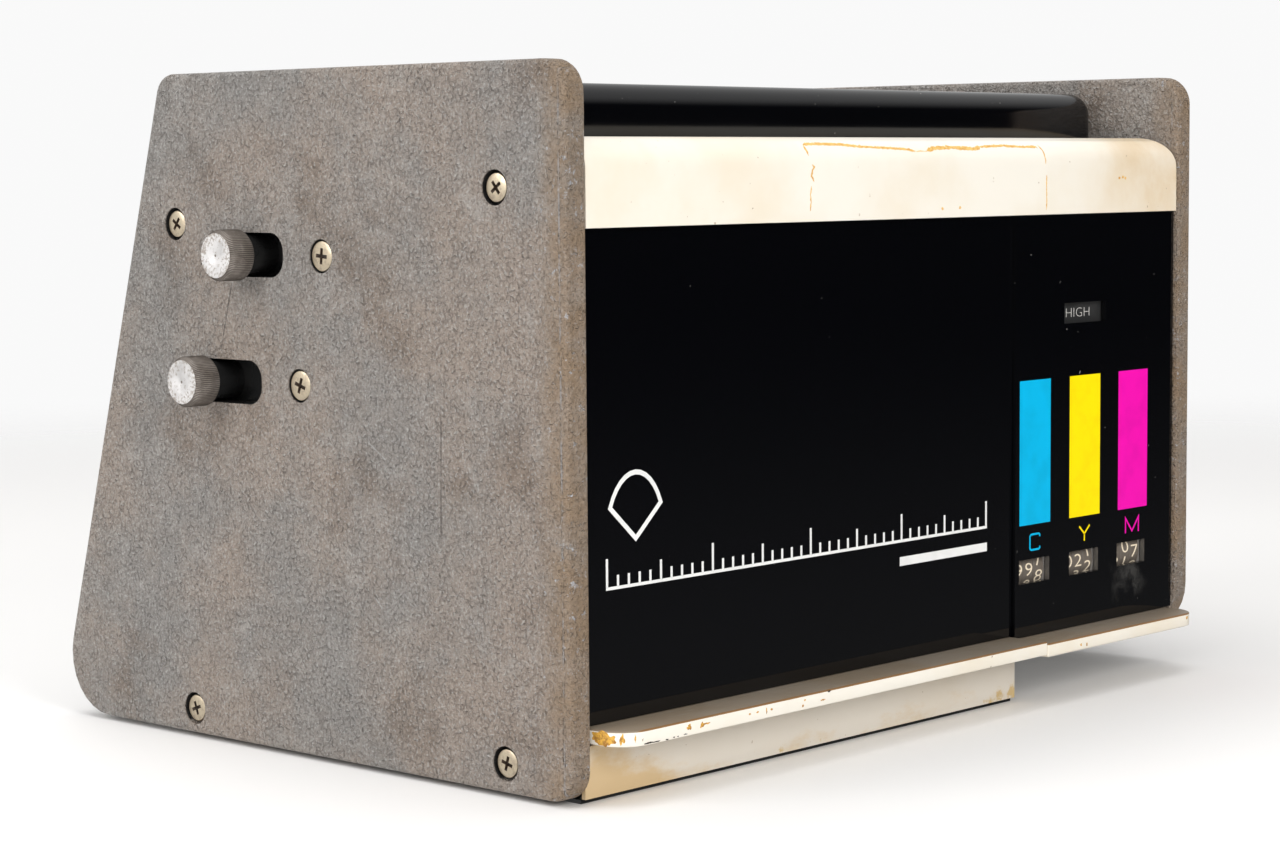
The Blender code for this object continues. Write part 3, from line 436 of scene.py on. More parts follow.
def knob_face(node):
    """Bright turned face, with brown-grey specks that gather towards the rim."""
    material, tree, shader, coords = start_material(node + "_face", roughness=0.42, metallic=0.45)
    across, up, radius = round_axis(tree, coords, node)
    away = calc(tree, "SQRT", plus(tree, times(tree, across, across), times(tree, up, up)))
    share = calc(tree, "DIVIDE", away, radius)
    specks = calc(tree, "MULTIPLY_ADD", span(tree, share, 0.3, 1.0), 0.13, noise(tree, coords, 950, 5, 0.7))
    dull = span(tree, noise(tree, coords, 140, 3), 0.35, 0.7)
    tone = blend(tree, dull, (0.82, 0.80, 0.79), (0.60, 0.585, 0.575))
    tone = blend(tree, span(tree, specks, 0.54, 0.70, 0.0, 0.8), tone, (0.33, 0.27, 0.22))
    tree.links.new(tone, shader.inputs["Base Color"])
    bump(tree, shader, calc(tree, "SINE", times(tree, away, TURNED_LINES)), 0.000004, 0.5)
    return material


def pale_solid(name, colour, roughness=0.7, scale=300, depth=0.0001):
    """Foam, opal sheet or ceramic: pale, slightly mottled, faintly grained."""
    material, tree, shader, coords = start_material(name, roughness=roughness)
    tint = tuple(c * 0.86 for c in colour)
    tone = blend(tree, span(tree, noise(tree, coords, 40, 4), 0.4, 0.8), colour, tint)
    tree.links.new(tone, shader.inputs["Base Color"])
    bump(tree, shader, noise(tree, coords, scale, 3), depth, 0.6)
    return material


def ink(name, colour, glow=0.0, roughness=0.25, coat=0.0):
    """Printed colour, a little uneven; glow makes it give off light of its own colour: painted light."""
    material, tree, shader, coords = start_material(name, roughness=roughness)
    shader.inputs["Coat Weight"].default_value = coat
    shader.inputs["Coat Roughness"].default_value = 0.05
    shader.inputs["Specular IOR Level"].default_value = 0.08
    shader.inputs["Emission Color"].default_value = (*colour, 1)
    shader.inputs["Emission Strength"].default_value = glow
    shade = tuple(c * 0.9 for c in colour)
    tone = blend(tree, span(tree, noise(tree, coords, 90, 3), 0.4, 0.7), colour, shade)
    tree.links.new(tone, shader.inputs["Base Color"])
    bump(tree, shader, noise(tree, coords, 800, 2), 0.00001, 0.3)
    return material


def clear_glass(name, colour):
    material, tree, shader, coords = start_material(name, roughness=0.04, colour=colour)
    shader.inputs["Transmission Weight"].default_value = 0.9
    shader.inputs["IOR"].default_value = 1.5
    shade = tuple(c * 0.92 for c in colour)
    tone = blend(tree, span(tree, noise(tree, coords, 60, 3), 0.4, 0.7), colour, shade)
    tree.links.new(tone, shader.inputs["Base Color"])
    return material


# ---------------------------------------------------------------- meshes

def rounded(points, radii, steps=10):
    """An outline whose corners are replaced by arcs of the given radii."""
    outline = []
    count = len(points)
    for i, radius in enumerate(radii):
        corner = Vector(points[i])
        if radius == 0:
            outline.append(corner)
            continue
        before = (Vector(points[i - 1]) - corner).normalized()
        after = (Vector(points[(i + 1) % count]) - corner).normalized()
        half = before.angle(after) / 2
        centre = corner + (before + after).normalized() * (radius / math.sin(half))
        first = corner + before * (radius / math.tan(half)) - centre
        last = corner + after * (radius / math.tan(half)) - centre
        sweep = first.angle_signed(last)
        outline += [centre + Matrix.Rotation(-sweep * k / steps, 2) @ first for k in range(steps + 1)]
    return outline


def prism(outline, axis, low, high):
    """Extrudes an outline along an axis; its two coordinates are the other axes in X, Y, Z order."""
    solid = bmesh.new()
    index = "XYZ".index(axis)
    ends = []
    for t in (low, high):
        row = []
        for point in outline:
            place = [point[0], point[1]]
            place.insert(index, t)
            row.append(solid.verts.new(place))
        ends.append(row)
    for end in ends:
        solid.faces.new(end)
    for i in range(len(outline)):
        solid.faces.new((ends[0][i - 1], ends[0][i], ends[1][i], ends[1][i - 1]))
    bmesh.ops.recalc_face_normals(solid, faces=solid.faces)
    return solid


def cuboid(low, high):
    solid = bmesh.new()
    size = Vector(high) - Vector(low)
    place = Matrix.Translation((Vector(low) + Vector(high)) / 2) @ Matrix.Diagonal((*size, 1))
    bmesh.ops.create_cube(solid, size=1.0, matrix=place)
    return solid


def turned(profile, at, sides=48, flutes=0, depth=0.0, band=None):
    """A solid of revolution about X; between the two distances in band it carries fine straight ridges."""
    solid = bmesh.new()
    rows = []
    for radius, along in profile:
        if radius == 0:
            rows.append([solid.verts.new(Vector(at) + Vector((along, 0, 0)))])
            continue
        row = []
        for k in range(sides):
            cut = 0.0
            if flutes and band[0] <= along <= band[1]:
                cut = depth * (0.5 - 0.5 * math.cos(2 * math.pi * flutes * k / sides))
            angle = 2 * math.pi * k / sides
            r = radius - cut
            arm = Vector((along, r * math.cos(angle), r * math.sin(angle)))
            row.append(solid.verts.new(Vector(at) + arm))
        rows.append(row)
    for near, far in zip(rows, rows[1:]):
        for k in range(sides):
            corners = [near[k - 1], near[k]] if len(near) > 1 else [near[0]]
            corners += [far[k], far[k - 1]] if len(far) > 1 else [far[0]]
            if len(corners) > 2:
                solid.faces.new(corners)
    bmesh.ops.recalc_face_normals(solid, faces=solid.faces)
    return solid


def put(name, data):
    shown = bpy.data.objects.new(name, data)
    bpy.context.collection.objects.link(shown)
    return shown


def mesh_of(name, solid):
    """Turns a bmesh into a mesh and frees it."""
    mesh = bpy.data.meshes.new(name)
    solid.to_mesh(mesh)
    solid.free()
    return mesh


def add_object(name, solid, materials, body, hides=(), angle=35):
    """Makes a piece, rides it on its body and what it stands for."""
    mesh = mesh_of(name, solid)
    for material in materials:
        mesh.materials.append(material)
    mesh.shade_smooth()
    mesh.set_sharp_from_angle(angle=math.radians(angle))
    shown = put(name, mesh)
    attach(shown, body)
    if hides:
        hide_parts(*hides)
    return shown


def bevelled(shown, width, segments=3, angle=40):
    edge = shown.modifiers.new("Edge", "BEVEL")
    edge.width = width
    edge.segments = segments
    edge.limit_method = "ANGLE"
    edge.angle_limit = math.radians(angle)
    edge.harden_normals = True
    return edge


def lettering(text, height, depth, stretch=1.0, weight=0.0):
    """Plain letters as a solid, centred on the origin in X and Y, facing +Z."""
    curve = bpy.data.curves.new("letters", "FONT")
    curve.body = text
    curve.resolution_u = 4
    curve.size = 1.0
    curve.offset = weight
    maker = put("letters", curve)
    probe = bpy.data.meshes.new_from_object(maker)
    xs = [v.co.x for v in probe.vertices]
    ys = [v.co.y for v in probe.vertices]
    size = height / (max(ys) - min(ys))
    middle = ((max(xs) + min(xs)) / 2, (max(ys) + min(ys)) / 2)
    bpy.data.meshes.remove(probe)
    curve.extrude = depth / 2 / size
    mesh = bpy.data.meshes.new_from_object(maker)
    solid = bmesh.new()
    solid.from_mesh(mesh)
    for vert in solid.verts:
        x = (vert.co.x - middle[0]) * size * stretch
        vert.co = Vector((x, (vert.co.y - middle[1]) * size, vert.co.z * size))
    bpy.data.meshes.remove(mesh)
    bpy.data.objects.remove(maker)
    bpy.data.curves.remove(curve)
    bmesh.ops.remove_doubles(solid, verts=solid.verts, dist=1e-6)
    return solid


def onto_panel(solid, x, y, z):
    """Stands a flat solid up so that it faces the front, at a place given in head millimetres."""
    stand = Matrix(((1, 0, 0, 0), (0, 0, -1, 0), (0, 1, 0, 0), (0, 0, 0, 1)))
    solid.transform(Matrix.Translation(head(x, y, z)) @ stand)
    return solid


def gather(solids):
    """Joins solids in one mesh, giving each its own material index."""
    whole = bmesh.new()
    for index, solid in enumerate(solids):
        for face in solid.faces:
            face.material_index = index
        mesh = mesh_of("gathered", solid)
        whole.from_mesh(mesh)
        bpy.data.meshes.remove(mesh)
    return whole


# ---------------------------------------------------------------- pieces on the front

def make_trim(material):
    """The rolled sheet over the front panels, smooth over its roll and round its right corner."""
    low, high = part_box("top_trim")
    radius = TRIM_RADIUS
    sheet = 1.6 * MM
    arc = [math.pi / 2 * k / 20 for k in range(21)]
    centre = (low.y + radius, high.z - radius)
    outer = [(low.y, low.z)]
    outer += [(centre[0] - radius * math.cos(a), centre[1] + radius * math.sin(a)) for a in arc]
    outer += [(high.y, high.z)]
    thin = radius - sheet
    inner = [(low.y + sheet, low.z)]
    inner += [(centre[0] - thin * math.cos(a), centre[1] + thin * math.sin(a)) for a in arc]
    inner += [(high.y, high.z - sheet)]
    solid = prism(outer + inner[::-1], "X", low.x, high.x)
    trim = add_object("trim_sheet", solid, [material], "housing", ["top_trim"])
    corner = 12 * MM
    middle = (high.x - corner, high.z - corner)
    waste = [(middle[0] + corner * math.sin(a), middle[1] + corner * math.cos(a)) for a in arc]
    waste += [(high.x + MM, middle[1]), (high.x + MM, high.z + MM), (middle[0], high.z + MM)]
    cut_away(trim, prism(waste, "Y", low.y - MM, high.y + MM))
    bevelled(trim, 0.35 * MM, 2)


def cut_away(shown, solid):
    """Cuts a solid from a piece and leaves no modifier behind."""
    cutter = put("cutter", mesh_of("cutter", solid))
    boolean = shown.modifiers.new("Cut", "BOOLEAN")
    boolean.operation = "DIFFERENCE"
    boolean.solver = "EXACT"
    boolean.object = cutter
    graph = bpy.context.evaluated_depsgraph_get()
    result = bpy.data.meshes.new_from_object(shown.evaluated_get(graph))
    shown.modifiers.remove(boolean)
    shown.data = result
    result.shade_smooth()
    result.set_sharp_from_angle(angle=math.radians(35))
    bpy.data.objects.remove(cutter)


def make_ledges(front_paint, top_paint):
    """The two lengths of ledge, rounded at their outer ends, with a taupe upper face."""
    for name, radii in (("ledge_left", (0, 0, 0.8, 10)), ("ledge_right", (0, 0, 10, 0.8))):
        low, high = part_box(name)
        corners = [(low.x, high.y), (high.x, high.y), (high.x, low.y), (low.x, low.y)]
        solid = prism(rounded(corners, [r * MM for r in radii], 16), "Z", low.z, high.z)
        rim = [e for e in solid.edges if abs(e.verts[0].co.z - e.verts[1].co.z) < 1e-7]
        bmesh.ops.bevel(solid, geom=rim, offset=0.45 * MM, segments=2, profile=0.5, affect="EDGES")
        for face in solid.faces:
            face.material_index = 1 if face.normal.z > 0.3 else 0
        paints = [front_paint, top_paint]
        add_object(name + "_enamelled", solid, paints, "housing", [name], angle=50)


def make_hood(material):
    """Smooth-cornered lid, its sheet edge visible underneath."""
    low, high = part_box("hood")
    solid = cuboid(low, high)
    run = (high.z - low.z) * HOOD_SLOPE
    for vert in solid.verts:
        if vert.co.y > low.y + MM and vert.co.z > low.z + MM:
            vert.co.y -= run
    top = [e for e in solid.edges if max(v.co.z for v in e.verts) > high.z - MM]
    bmesh.ops.bevel(solid, geom=top, offset=8 * MM, segments=10, profile=0.5, affect="EDGES")
    under = [f for f in solid.faces if f.normal.z < -0.9]
    bmesh.ops.delete(solid, geom=under, context="FACES_ONLY")
    hood = add_object("hood_lid", solid, [material], "hood", ["hood"], angle=60)
    wall = hood.modifiers.new("Wall", "SOLIDIFY")
    wall.thickness = 1.5 * MM
    wall.offset = -1.0
    wall.use_even_offset = True


LETTER_SQUASH = 0.76              # how much lower the printed letters are than drawn here
LETTERS = dict(
    C=[[(2.9, 2.2), (2.9, 3.1), (2.3, 3.6), (-2.3, 3.6), (-3.1, 2.9),
        (-3.1, -2.9), (-2.3, -3.6), (2.3, -3.6), (2.9, -3.1), (2.9, -2.2)]],
    Y=[[(-3.3, 3.6), (0, -0.2), (3.3, 3.6)], [(0, -0.2), (0, -3.6)]],
    M=[[(-4.3, -3.6), (-4.3, 3.6), (0, -2.8), (4.3, 3.6), (4.3, -3.6)]],
)


def skin(solid, rows, closed=False):
    """Joins four-cornered sections in a run: a ring if closed, else a bar with capped ends."""
    pairs = list(zip(rows, rows[1:]))
    if closed:
        pairs.append((rows[-1], rows[0]))
    for r, q in pairs:
        for k, m in ((0, 1), (1, 3), (3, 2), (2, 0)):
            solid.faces.new((r[k], r[m], q[m], q[k]))
    if not closed:
        for row in (rows[0], rows[-1]):
            solid.faces.new((row[0], row[1], row[3], row[2]))


def flat_strokes(lines, width, y0, y1):
    """Printed lines of even width between points (x, z) in head millimetres, mitred at their bends."""
    whole = bmesh.new()
    for line in lines:
        points = [Vector(p) for p in line]
        closed = (points[0] - points[-1]).length < 0.01
        if closed:
            points = points[:-1]
        count = len(points)
        left = []
        right = []
        for i, point in enumerate(points):
            before = points[i - 1] if i > 0 or closed else None
            after = points[(i + 1) % count] if i < count - 1 or closed else None
            a = (point - before).normalized() if before is not None else (after - point).normalized()
            b = (after - point).normalized() if after is not None else a
            across = Vector((-(a.y + b.y), a.x + b.x)).normalized()
            reach = width / 2 / max(across.dot(Vector((-a.y, a.x))), 0.35)
            left.append(point + across * reach)
            right.append(point - across * reach)
        rows = []
        for a, b in zip(left, right):
            rows.append([whole.verts.new(head(p.x, y, p.y)) for y in (y0, y1) for p in (a, b)])
        skin(whole, rows, closed)
    bmesh.ops.recalc_face_normals(whole, faces=whole.faces)
    return whole


def make_prints(white, inks):
    """Printed bars and letters of the right panel, and a plain scale and light-cone sign on the left."""
    face = (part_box("front_panel_right")[0].y - ORIGIN.y) / MM
    y = (face - PRINT_OUT, face + PRINT_IN)
    bars = dict(cyan=(229.3, 248.1), yellow=(260.1, 279.5), magenta=(291.5, 310.8))
    marks = dict(cyan=("C", 238.8), yellow=("Y", 269.8), magenta=("M", 301.0))
    for colour in COLOURS:
        x = bars[colour]
        bar = cuboid(head(x[0], y[0], 62.0), head(x[1], y[1], 112.9))
        add_object("bar_" + colour, bar, [inks[colour]], "housing")
        text, middle = marks[colour]
        lines = [[(middle + u, 55.7 + v * LETTER_SQUASH) for u, v in line] for line in LETTERS[text]]
        add_object("letter_" + colour, flat_strokes(lines, 0.7, *y), [inks[colour]], "housing")
    face = (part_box("front_panel_left")[0].y - ORIGIN.y) / MM
    y = (face - PRINT_OUT, face + PRINT_IN)
    lines = [[(18.5, 63.5), (211.5, 63.5)]]
    for k in range(41):
        x = 18.95 + k * 4.8
        tall = 8.6 if k % 10 == 0 else 6.0 if k % 5 == 0 else 3.4
        lines.append([(x, 63.9), (x, 63.9 + tall)])
    add_object("print_scale", flat_strokes(lines, 0.95, *y), [white], "housing")
    angles = [math.radians(10 * k - 60) for k in range(13)]
    arc = [(31.8 + 13.0 * math.sin(a), 77.5 + 20.0 * math.cos(a)) for a in angles]
    cone = [[(31.8, 77.5)] + arc + [(31.8, 77.5)]]
    add_object("print_beam", flat_strokes(cone, 1.5, *y), [white], "housing")
    rule = [[(162, 56.6), (211.5, 56.6)]]
    add_object("print_rule", flat_strokes(rule, 3.0, *y), [white], "housing")


def onto_trim(x, z, lift):
    """A point on the trim's face, at a height on its flat front or its roll, lifted off it a little."""
    low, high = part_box("top_trim")
    radius = TRIM_RADIUS
    place = head(x, 0, z)
    over = min(max(place.z - (high.z - radius), 0) / radius, 0.999)
    angle = math.asin(over)
    reach = radius + lift * MM
    if angle == 0:
        return Vector((place.x, low.y - lift * MM, place.z))
    y = low.y + radius - reach * math.cos(angle)
    return Vector((place.x, y, high.z - radius + reach * math.sin(angle)))


def onto_ledge(x, z, lift):
    """A point on the left ledge's front; below 19 mm across, x runs on round the corner's arc."""
    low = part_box("ledge_left")[0]
    radius = LEDGE_RADIUS
    start = (low.x + radius - ORIGIN.x) / MM
    place = head(x, 0, z)
    if x >= start:
        return Vector((place.x, low.y - lift * MM, place.z))
    angle = (start - x) * MM / radius
    reach = radius + lift * MM
    centre = (low.x + radius, low.y + radius)
    if angle > math.pi / 2:
        return Vector((low.x - lift * MM, centre[1] + (angle - math.pi / 2) * radius, place.z))
    return Vector((centre[0] - reach * math.sin(angle), centre[1] - reach * math.cos(angle), place.z))


def ribbon(name, points, width, surface, material):
    """A ragged line of dried glue along a surface."""
    chance = random.Random(name)
    path = []
    for a, b in zip(points, points[1:]):
        a, b = Vector(a), Vector(b)
        steps = max(2, int((b - a).length / 0.45))
        path += [a.lerp(b, k / steps) for k in range(steps)]
    path.append(Vector(points[-1]))
    solid = bmesh.new()
    rows = []
    for i, point in enumerate(path):
        ahead = path[min(i + 1, len(path) - 1)] - path[max(i - 1, 0)]
        across = Vector((-ahead.y, ahead.x)).normalized()
        taper = min(1.0, 0.25 + 0.4 * min(i, len(path) - 1 - i))
        drift = across * chance.uniform(-0.12, 0.12)
        half = width * taper * chance.uniform(0.55, 1.25) / 2
        pair = (point + drift + across * half, point + drift - across * half)
        rows.append([solid.verts.new(surface(p.x, p.y, lift)) for lift in (0.05, -0.02) for p in pair])
    skin(solid, rows)
    bmesh.ops.recalc_face_normals(solid, faces=solid.faces)
    add_object(name, solid, [material], "housing")


def blot(name, x, z, across, up, surface, material, slot):
    """A ragged crust, spreading from a point of a surface."""
    chance = random.Random(name)
    sides = 22
    solid = bmesh.new()
    rows = []
    waves = [(chance.uniform(0, 6.3), chance.randint(2, 7), chance.uniform(0.08, 0.22)) for _ in range(4)]
    for lift, share in ((0.07, 0.0), (0.07, 0.6), (0.045, 0.95), (-0.02, 1.0)):
        row = []
        for k in range(sides):
            angle = 2 * math.pi * k / sides
            edge = 1.0 + sum(size * math.sin(turns * angle + phase) for phase, turns, size in waves)
            spread = x + across * share * edge * math.cos(angle)
            row.append((spread, z + up * share * edge * math.sin(angle), lift))
        rows.append(row)
    top = solid.verts.new(surface(*rows[0][0]))
    rings = [[solid.verts.new(surface(*p)) for p in row] for row in rows[1:]]
    for k in range(sides):
        solid.faces.new((top, rings[0][k - 1], rings[0][k]))
    for near, far in zip(rings, rings[1:]):
        for k in range(sides):
            solid.faces.new((near[k - 1], near[k], far[k], far[k - 1]))
    solid.faces.new(rings[-1])
    bmesh.ops.recalc_face_normals(solid, faces=solid.faces)
    add_object(name, solid, [material], "housing")


GLUE_LINES = (
    (0.8, ((112.5, 195.1), (112.2, 193.5), (112.5, 191.6))),
    (0.7, ((113.3, 188.6), (114.6, 188.0), (113.5, 187.0), (113.0, 185.0), (114.4, 183.4))),
    (0.55, ((113.0, 181.9), (112.5, 179.1), (112.7, 176.8), (112.4, 174.0))),
    (0.85, ((112.5, 195.1), (119.1, 195.3), (131.5, 195.1), (141.0, 194.4),
            (156.5, 193.9), (164.2, 193.6), (169.0, 192.9))),
    (0.3, ((169.0, 192.9), (175.8, 192.8))),
    (1.25, ((175.8, 193.1), (180.4, 193.9), (189.7, 194.1), (198.0, 193.8), (203.5, 193.6), (207, 194.3))),
    (0.8, ((207, 194.3), (213.2, 194.5), (220.8, 194.7), (232.2, 194.3), (240.6, 194.4))),
    (0.6, ((242.0, 194.9), (242.8, 193.2), (242.9, 190.6), (243.0, 188.4))),
    (0.5, ((243.5, 184.5), (243.4, 179.3), (243.6, 175.8), (243.4, 172.3))),
)
GLUE_SPOTS = ((291.8, 183.4), (293.4, 183.0), (192.4, 173.9), (182.5, 173.7), (289.5, 183.1))
RIGHT_RUST_SPOTS = ((246.4, 19.5, 0.5, 0.45), (250.1, 19.2, 0.45, 0.6), (316.0, 20.8, 0.6, 0.5))
RUST_SPOTS = (
    (4.2, 20.9, 2.9, 2.3), (6.6, 20.6, 2.0, 1.6), (2.2, 21.2, 1.8, 1.5),
    (10.6, 20.8, 0.75, 1.5), (14.6, 21.0, 0.25, 1.0), (37.7, 21.1, 1.0, 0.85),
    (43.6, 20.9, 0.9, 0.8), (45.4, 21.1, 1.4, 0.35), (65.8, 21.0, 0.5, 0.3), (69.5, 21.1, 0.6, 0.25),
    (73.8, 20.9, 0.3, 0.8), (76.2, 21.0, 0.45, 0.4), (91.5, 19.9, 0.4, 0.45), (92.5, 21.6, 0.4, 0.3),
    (101.5, 20.4, 1.2, 0.25),
)
CHIPS = (
    (19.5, 19.1, 1.8, 0.28), (22.5, 19.0, 2.4, 0.16), (27.7, 18.9, 0.6, 0.2), (30.8, 19.1, 0.4, 0.2),
    (32.6, 19.1, 0.4, 0.15), (36.0, 19.25, 0.8, 0.15), (104.6, 22.7, 0.8, 0.3),
)


def make_wear():
    """Dried glue on the trim, rust and chips on the ledge."""
    for k, (width, points) in enumerate(GLUE_LINES):
        ribbon("glue_line_%d" % k, points, width, onto_trim, PAINTS["glue"])
    for k, (x, z) in enumerate(GLUE_SPOTS):
        blot("glue_spot_%d" % k, x, z, 0.7, 0.45, onto_trim, PAINTS["glue"], "cream_enamel")
    for k, spot in enumerate(RUST_SPOTS):
        blot("rust_spot_%d" % k, *spot, onto_ledge, PAINTS["rust"], "cream_enamel")
    for k, spot in enumerate(CHIPS):
        blot("chip_%d" % k, *spot, onto_ledge, PAINTS["grime"], "cream_enamel")
    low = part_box("ledge_right")[0]

    def onto_right(x, z, lift):
        place = head(x, 0, z)
        return Vector((place.x, low.y - lift * MM, place.z))

    for k, spot in enumerate(RIGHT_RUST_SPOTS):
        blot("rust_spot_right_%d" % k, *spot, onto_right, PAINTS["rust"], "cream_enamel")


def sliced(solid, step):
    """Cuts a flat solid across Y every so often, so that it can be wrapped round a drum."""
    ys = [v.co.y for v in solid.verts]
    level = min(ys) + step
    while level < max(ys):
        parts = list(solid.verts) + list(solid.edges) + list(solid.faces)
        bmesh.ops.bisect_plane(solid, geom=parts, plane_co=(0, level, 0), plane_no=(0, 1, 0))
        level += step
    return solid


def make_wheels(drum, figure):
    """Number wheels with ten raised-ink figures each, turned to the reading they show at rest."""
    for colour in COLOURS:
        for place, name in enumerate(("hundreds", "tens", "units")):
            node = "wheel_" + colour + "_" + name
            low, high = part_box(node)
            centre = (low + high) / 2
            radius = (high.z - low.z) / 2 - 0.02 * MM
            half = (high.x - low.x) / 2
            rim = 0.35 * MM
            bore = 1.8 * MM
            profile = [(bore, -half), (radius - rim, -half), (radius, -half + rim), (radius, half - rim)]
            profile += [(radius - rim, half), (bore, half), (bore, -half)]
            body = turned(profile, centre, 60)
            bmesh.ops.remove_doubles(body, verts=body.verts, dist=1e-7)
            digits = []
            for digit in range(10):
                letter = lettering(str(digit), FIGURE_HEIGHT, 0.04 * MM, FIGURE_STRETCH, FIGURE_WEIGHT)
                solid = sliced(letter, 0.3 * MM)
                offset = -(digit - READING[colour][place]) * FIGURE_TURN
                for vert in solid.verts:
                    angle = vert.co.y / radius + offset
                    far = radius + 0.01 * MM + vert.co.z
                    x = centre.x + vert.co.x
                    vert.co = Vector((x, centre.y - far * math.cos(angle), centre.z + far * math.sin(angle)))
                digits.append(solid)
            numbers = gather(digits)
            whole = gather([body, numbers])
            add_object(node + "_drum", whole, [drum, figure], node, [node])


def make_legend(figure):
    """The word on the flag behind the upper window."""
    y = (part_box("legend_flag")[0].y - ORIGIN.y) / MM
    word = lettering("HIGH", 3.2 * MM, 0.05 * MM, 1.35, -0.022)
    text = onto_panel(word, 268.5, y - 0.03, 135.4)
    add_object("legend_word", text, [figure], "legend")


# ---------------------------------------------------------------- pieces on the cheeks

def make_lever_knob(name, body, side, face):
    """Knurled knob with a chamfered, faintly dished face."""
    low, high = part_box(name)
    centre = (low + high) / 2
    radius = (high.z - low.z) / 2
    length = high.x - low.x
    at = (high.x, centre.y, centre.z)
    step = 0.3 * MM
    flat = radius - 1.1 * MM
    profile = [(0, 0), (radius - 0.7 * MM, 0), (radius - step, -0.35 * MM), (radius, -0.8 * MM)]
    profile += [(radius, -length + 1.5 * MM), (radius - 0.25 * MM, -length + 1.1 * MM)]
    profile += [(radius - 0.85 * MM, -length + 0.35 * MM), (flat, -length), (0.5 * MM, -length)]
    profile += [(0.45 * MM, -length + 0.02 * MM), (0.2 * MM, -length + 0.12 * MM), (0, -length + 0.15 * MM)]
    band = (-length + 0.3 * MM, -0.3 * MM)
    solid = turned(profile, at, FLUTES * 6, FLUTES, 0.3 * MM, band)
    for face_of in solid.faces:
        face_of.material_index = 1 if face_of.calc_center_median().x < high.x - length + 0.01 * MM else 0
    add_object(name + "_turned", solid, [side, face], body, [name], angle=30)


def cut_cross(screw, at, spin, low, high, taper=(1, 1)):
    """Cuts a cross recess; taper narrows its arms towards their inner end."""
    for k in range(2):
        arm = cuboid(low, high)
        for vert in arm.verts:
            if vert.co.x > 0:
                vert.co.y *= taper[0]
                vert.co.z *= taper[1]
        turn = Matrix.Rotation(math.pi / 2 * k, 4, "X")
        arm.transform(Matrix.Translation(at) @ spin @ turn)
        cut_away(screw, arm)


def make_screw(name, node, metal, dark):
    """Screw head with a cross recess, and its shank."""
    low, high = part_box(node)
    centre = (low + high) / 2
    radius = (high.z - low.z) / 2
    at = (low.x, centre.y, centre.z)
    seat = 2.0 * MM
    shank = 2.0 * MM
    profile = [(0, 0), (radius * 0.5, 0.02 * MM), (radius * 0.85, 0.12 * MM), (radius * 0.96, 0.3 * MM)]
    length = high.x - low.x
    profile += [(radius, 0.6 * MM), (radius, seat), (shank, seat), (shank, length), (0, length)]
    screw = add_object(name, turned(profile, at, 48), [metal, dark], "housing", [node])
    spin = Matrix.Rotation(math.radians(SCREW_TURN[node]), 4, "X")
    reach = 0.54 * radius
    wide = 0.125 * radius
    cut_cross(screw, at, spin, (-0.05 * MM, -reach, -wide), (1.3 * MM, reach, wide), (0.5, 0.7))
    # Faces inside the cross recess take the dark recess material: painted shade in the recess.
    deep = low.x + 0.16 * MM
    for polygon in screw.data.polygons:
        middle = polygon.center
        away = math.hypot(middle.y - at[1], middle.z - at[2])
        inside = away < 0.62 * radius and middle.x > deep
        polygon.material_index = 1 if inside and middle.x < low.x + 1.6 * MM else 0


def make_dials(side, caps):
    """Filter dials: fluted black grips with a coloured disc on the end."""
    for colour in COLOURS:
        node = "filter_knob_" + colour
        low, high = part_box(node)
        centre = (low + high) / 2
        radius = (high.z - low.z) / 2
        length = high.x - low.x
        at = (low.x, centre.y, centre.z)
        bore = 3.3 * MM
        skirt = 4.0 * MM
        neck = radius - 1.6 * MM
        profile = [(0, length - 4.5 * MM), (bore, length - 4.5 * MM), (bore, 0), (radius - 0.4 * MM, 0)]
        profile += [(radius, 0.4 * MM), (radius, skirt - 0.5 * MM), (radius - 0.5 * MM, skirt)]
        profile += [(neck, skirt + 0.2 * MM), (neck, skirt + 0.8 * MM), (neck - 0.3 * MM, length - 1.4 * MM)]
        profile += [(neck - 1.4 * MM, length - 0.3 * MM), (neck - 1.9 * MM, length - 0.3 * MM)]
        profile += [(neck - 2.0 * MM, length - 0.9 * MM), (0, length - 0.9 * MM)]
        band = (skirt + 0.7 * MM, length - 1.3 * MM)
        grip = turned(profile, at, 36 * 8, 36, 0.7 * MM, band)
        add_object(node + "_grip", grip, [side], "dial_" + colour, [node], angle=40)
        rim = neck - 2.3 * MM
        end = length - 0.85 * MM
        disc = [(0, end), (rim, end), (rim, length - 0.3 * MM), (rim - 0.3 * MM, length), (0, length)]
        body = "dial_" + colour
        add_object("dial_cap_" + colour, turned(disc, at, 64), [caps[colour]], body)
        line = cuboid(head(0, 0, 0), head(0, 0, 0) + Vector((0.3, 0.5, 2.6)) * MM)
        mark = Vector((high.x - 0.1 * MM, centre.y - 0.25 * MM, centre.z + 4.5 * MM))
        line.transform(Matrix.Translation(mark - head(0, 0, 0)))
        add_object("dial_line_" + colour, line, [PAINTS["white_ink"]], body)


def make_outer_screws(metal):
    """Pan-head screws that hold the right cheek."""
    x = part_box("right_cheek")[1].x
    for k, (y, z) in enumerate(((170.0, 189.0), (27.0, 191.0), (190.0, 26.0), (40.0, 24.0), (110.0, 26.0))):
        place = head(0, y, z)
        at = (x, place.y, place.z)
        profile = [(0, 0.02 * MM), (4.3 * MM, 0.02 * MM), (4.4 * MM, 0.7 * MM)]
        profile += [(3.6 * MM, 1.5 * MM), (2.0 * MM, 1.9 * MM), (0, 2.0 * MM)]
        screw = add_object("outer_screw_%d" % k, turned(profile, at, 40), [metal], "housing")
        spin = Matrix.Rotation(0.35 + k, 4, "X")
        cut_cross(screw, at, spin, (0.8 * MM, -2.1 * MM, -0.5 * MM), (3 * MM, 2.1 * MM, 0.5 * MM))


# ---------------------------------------------------------------- stage

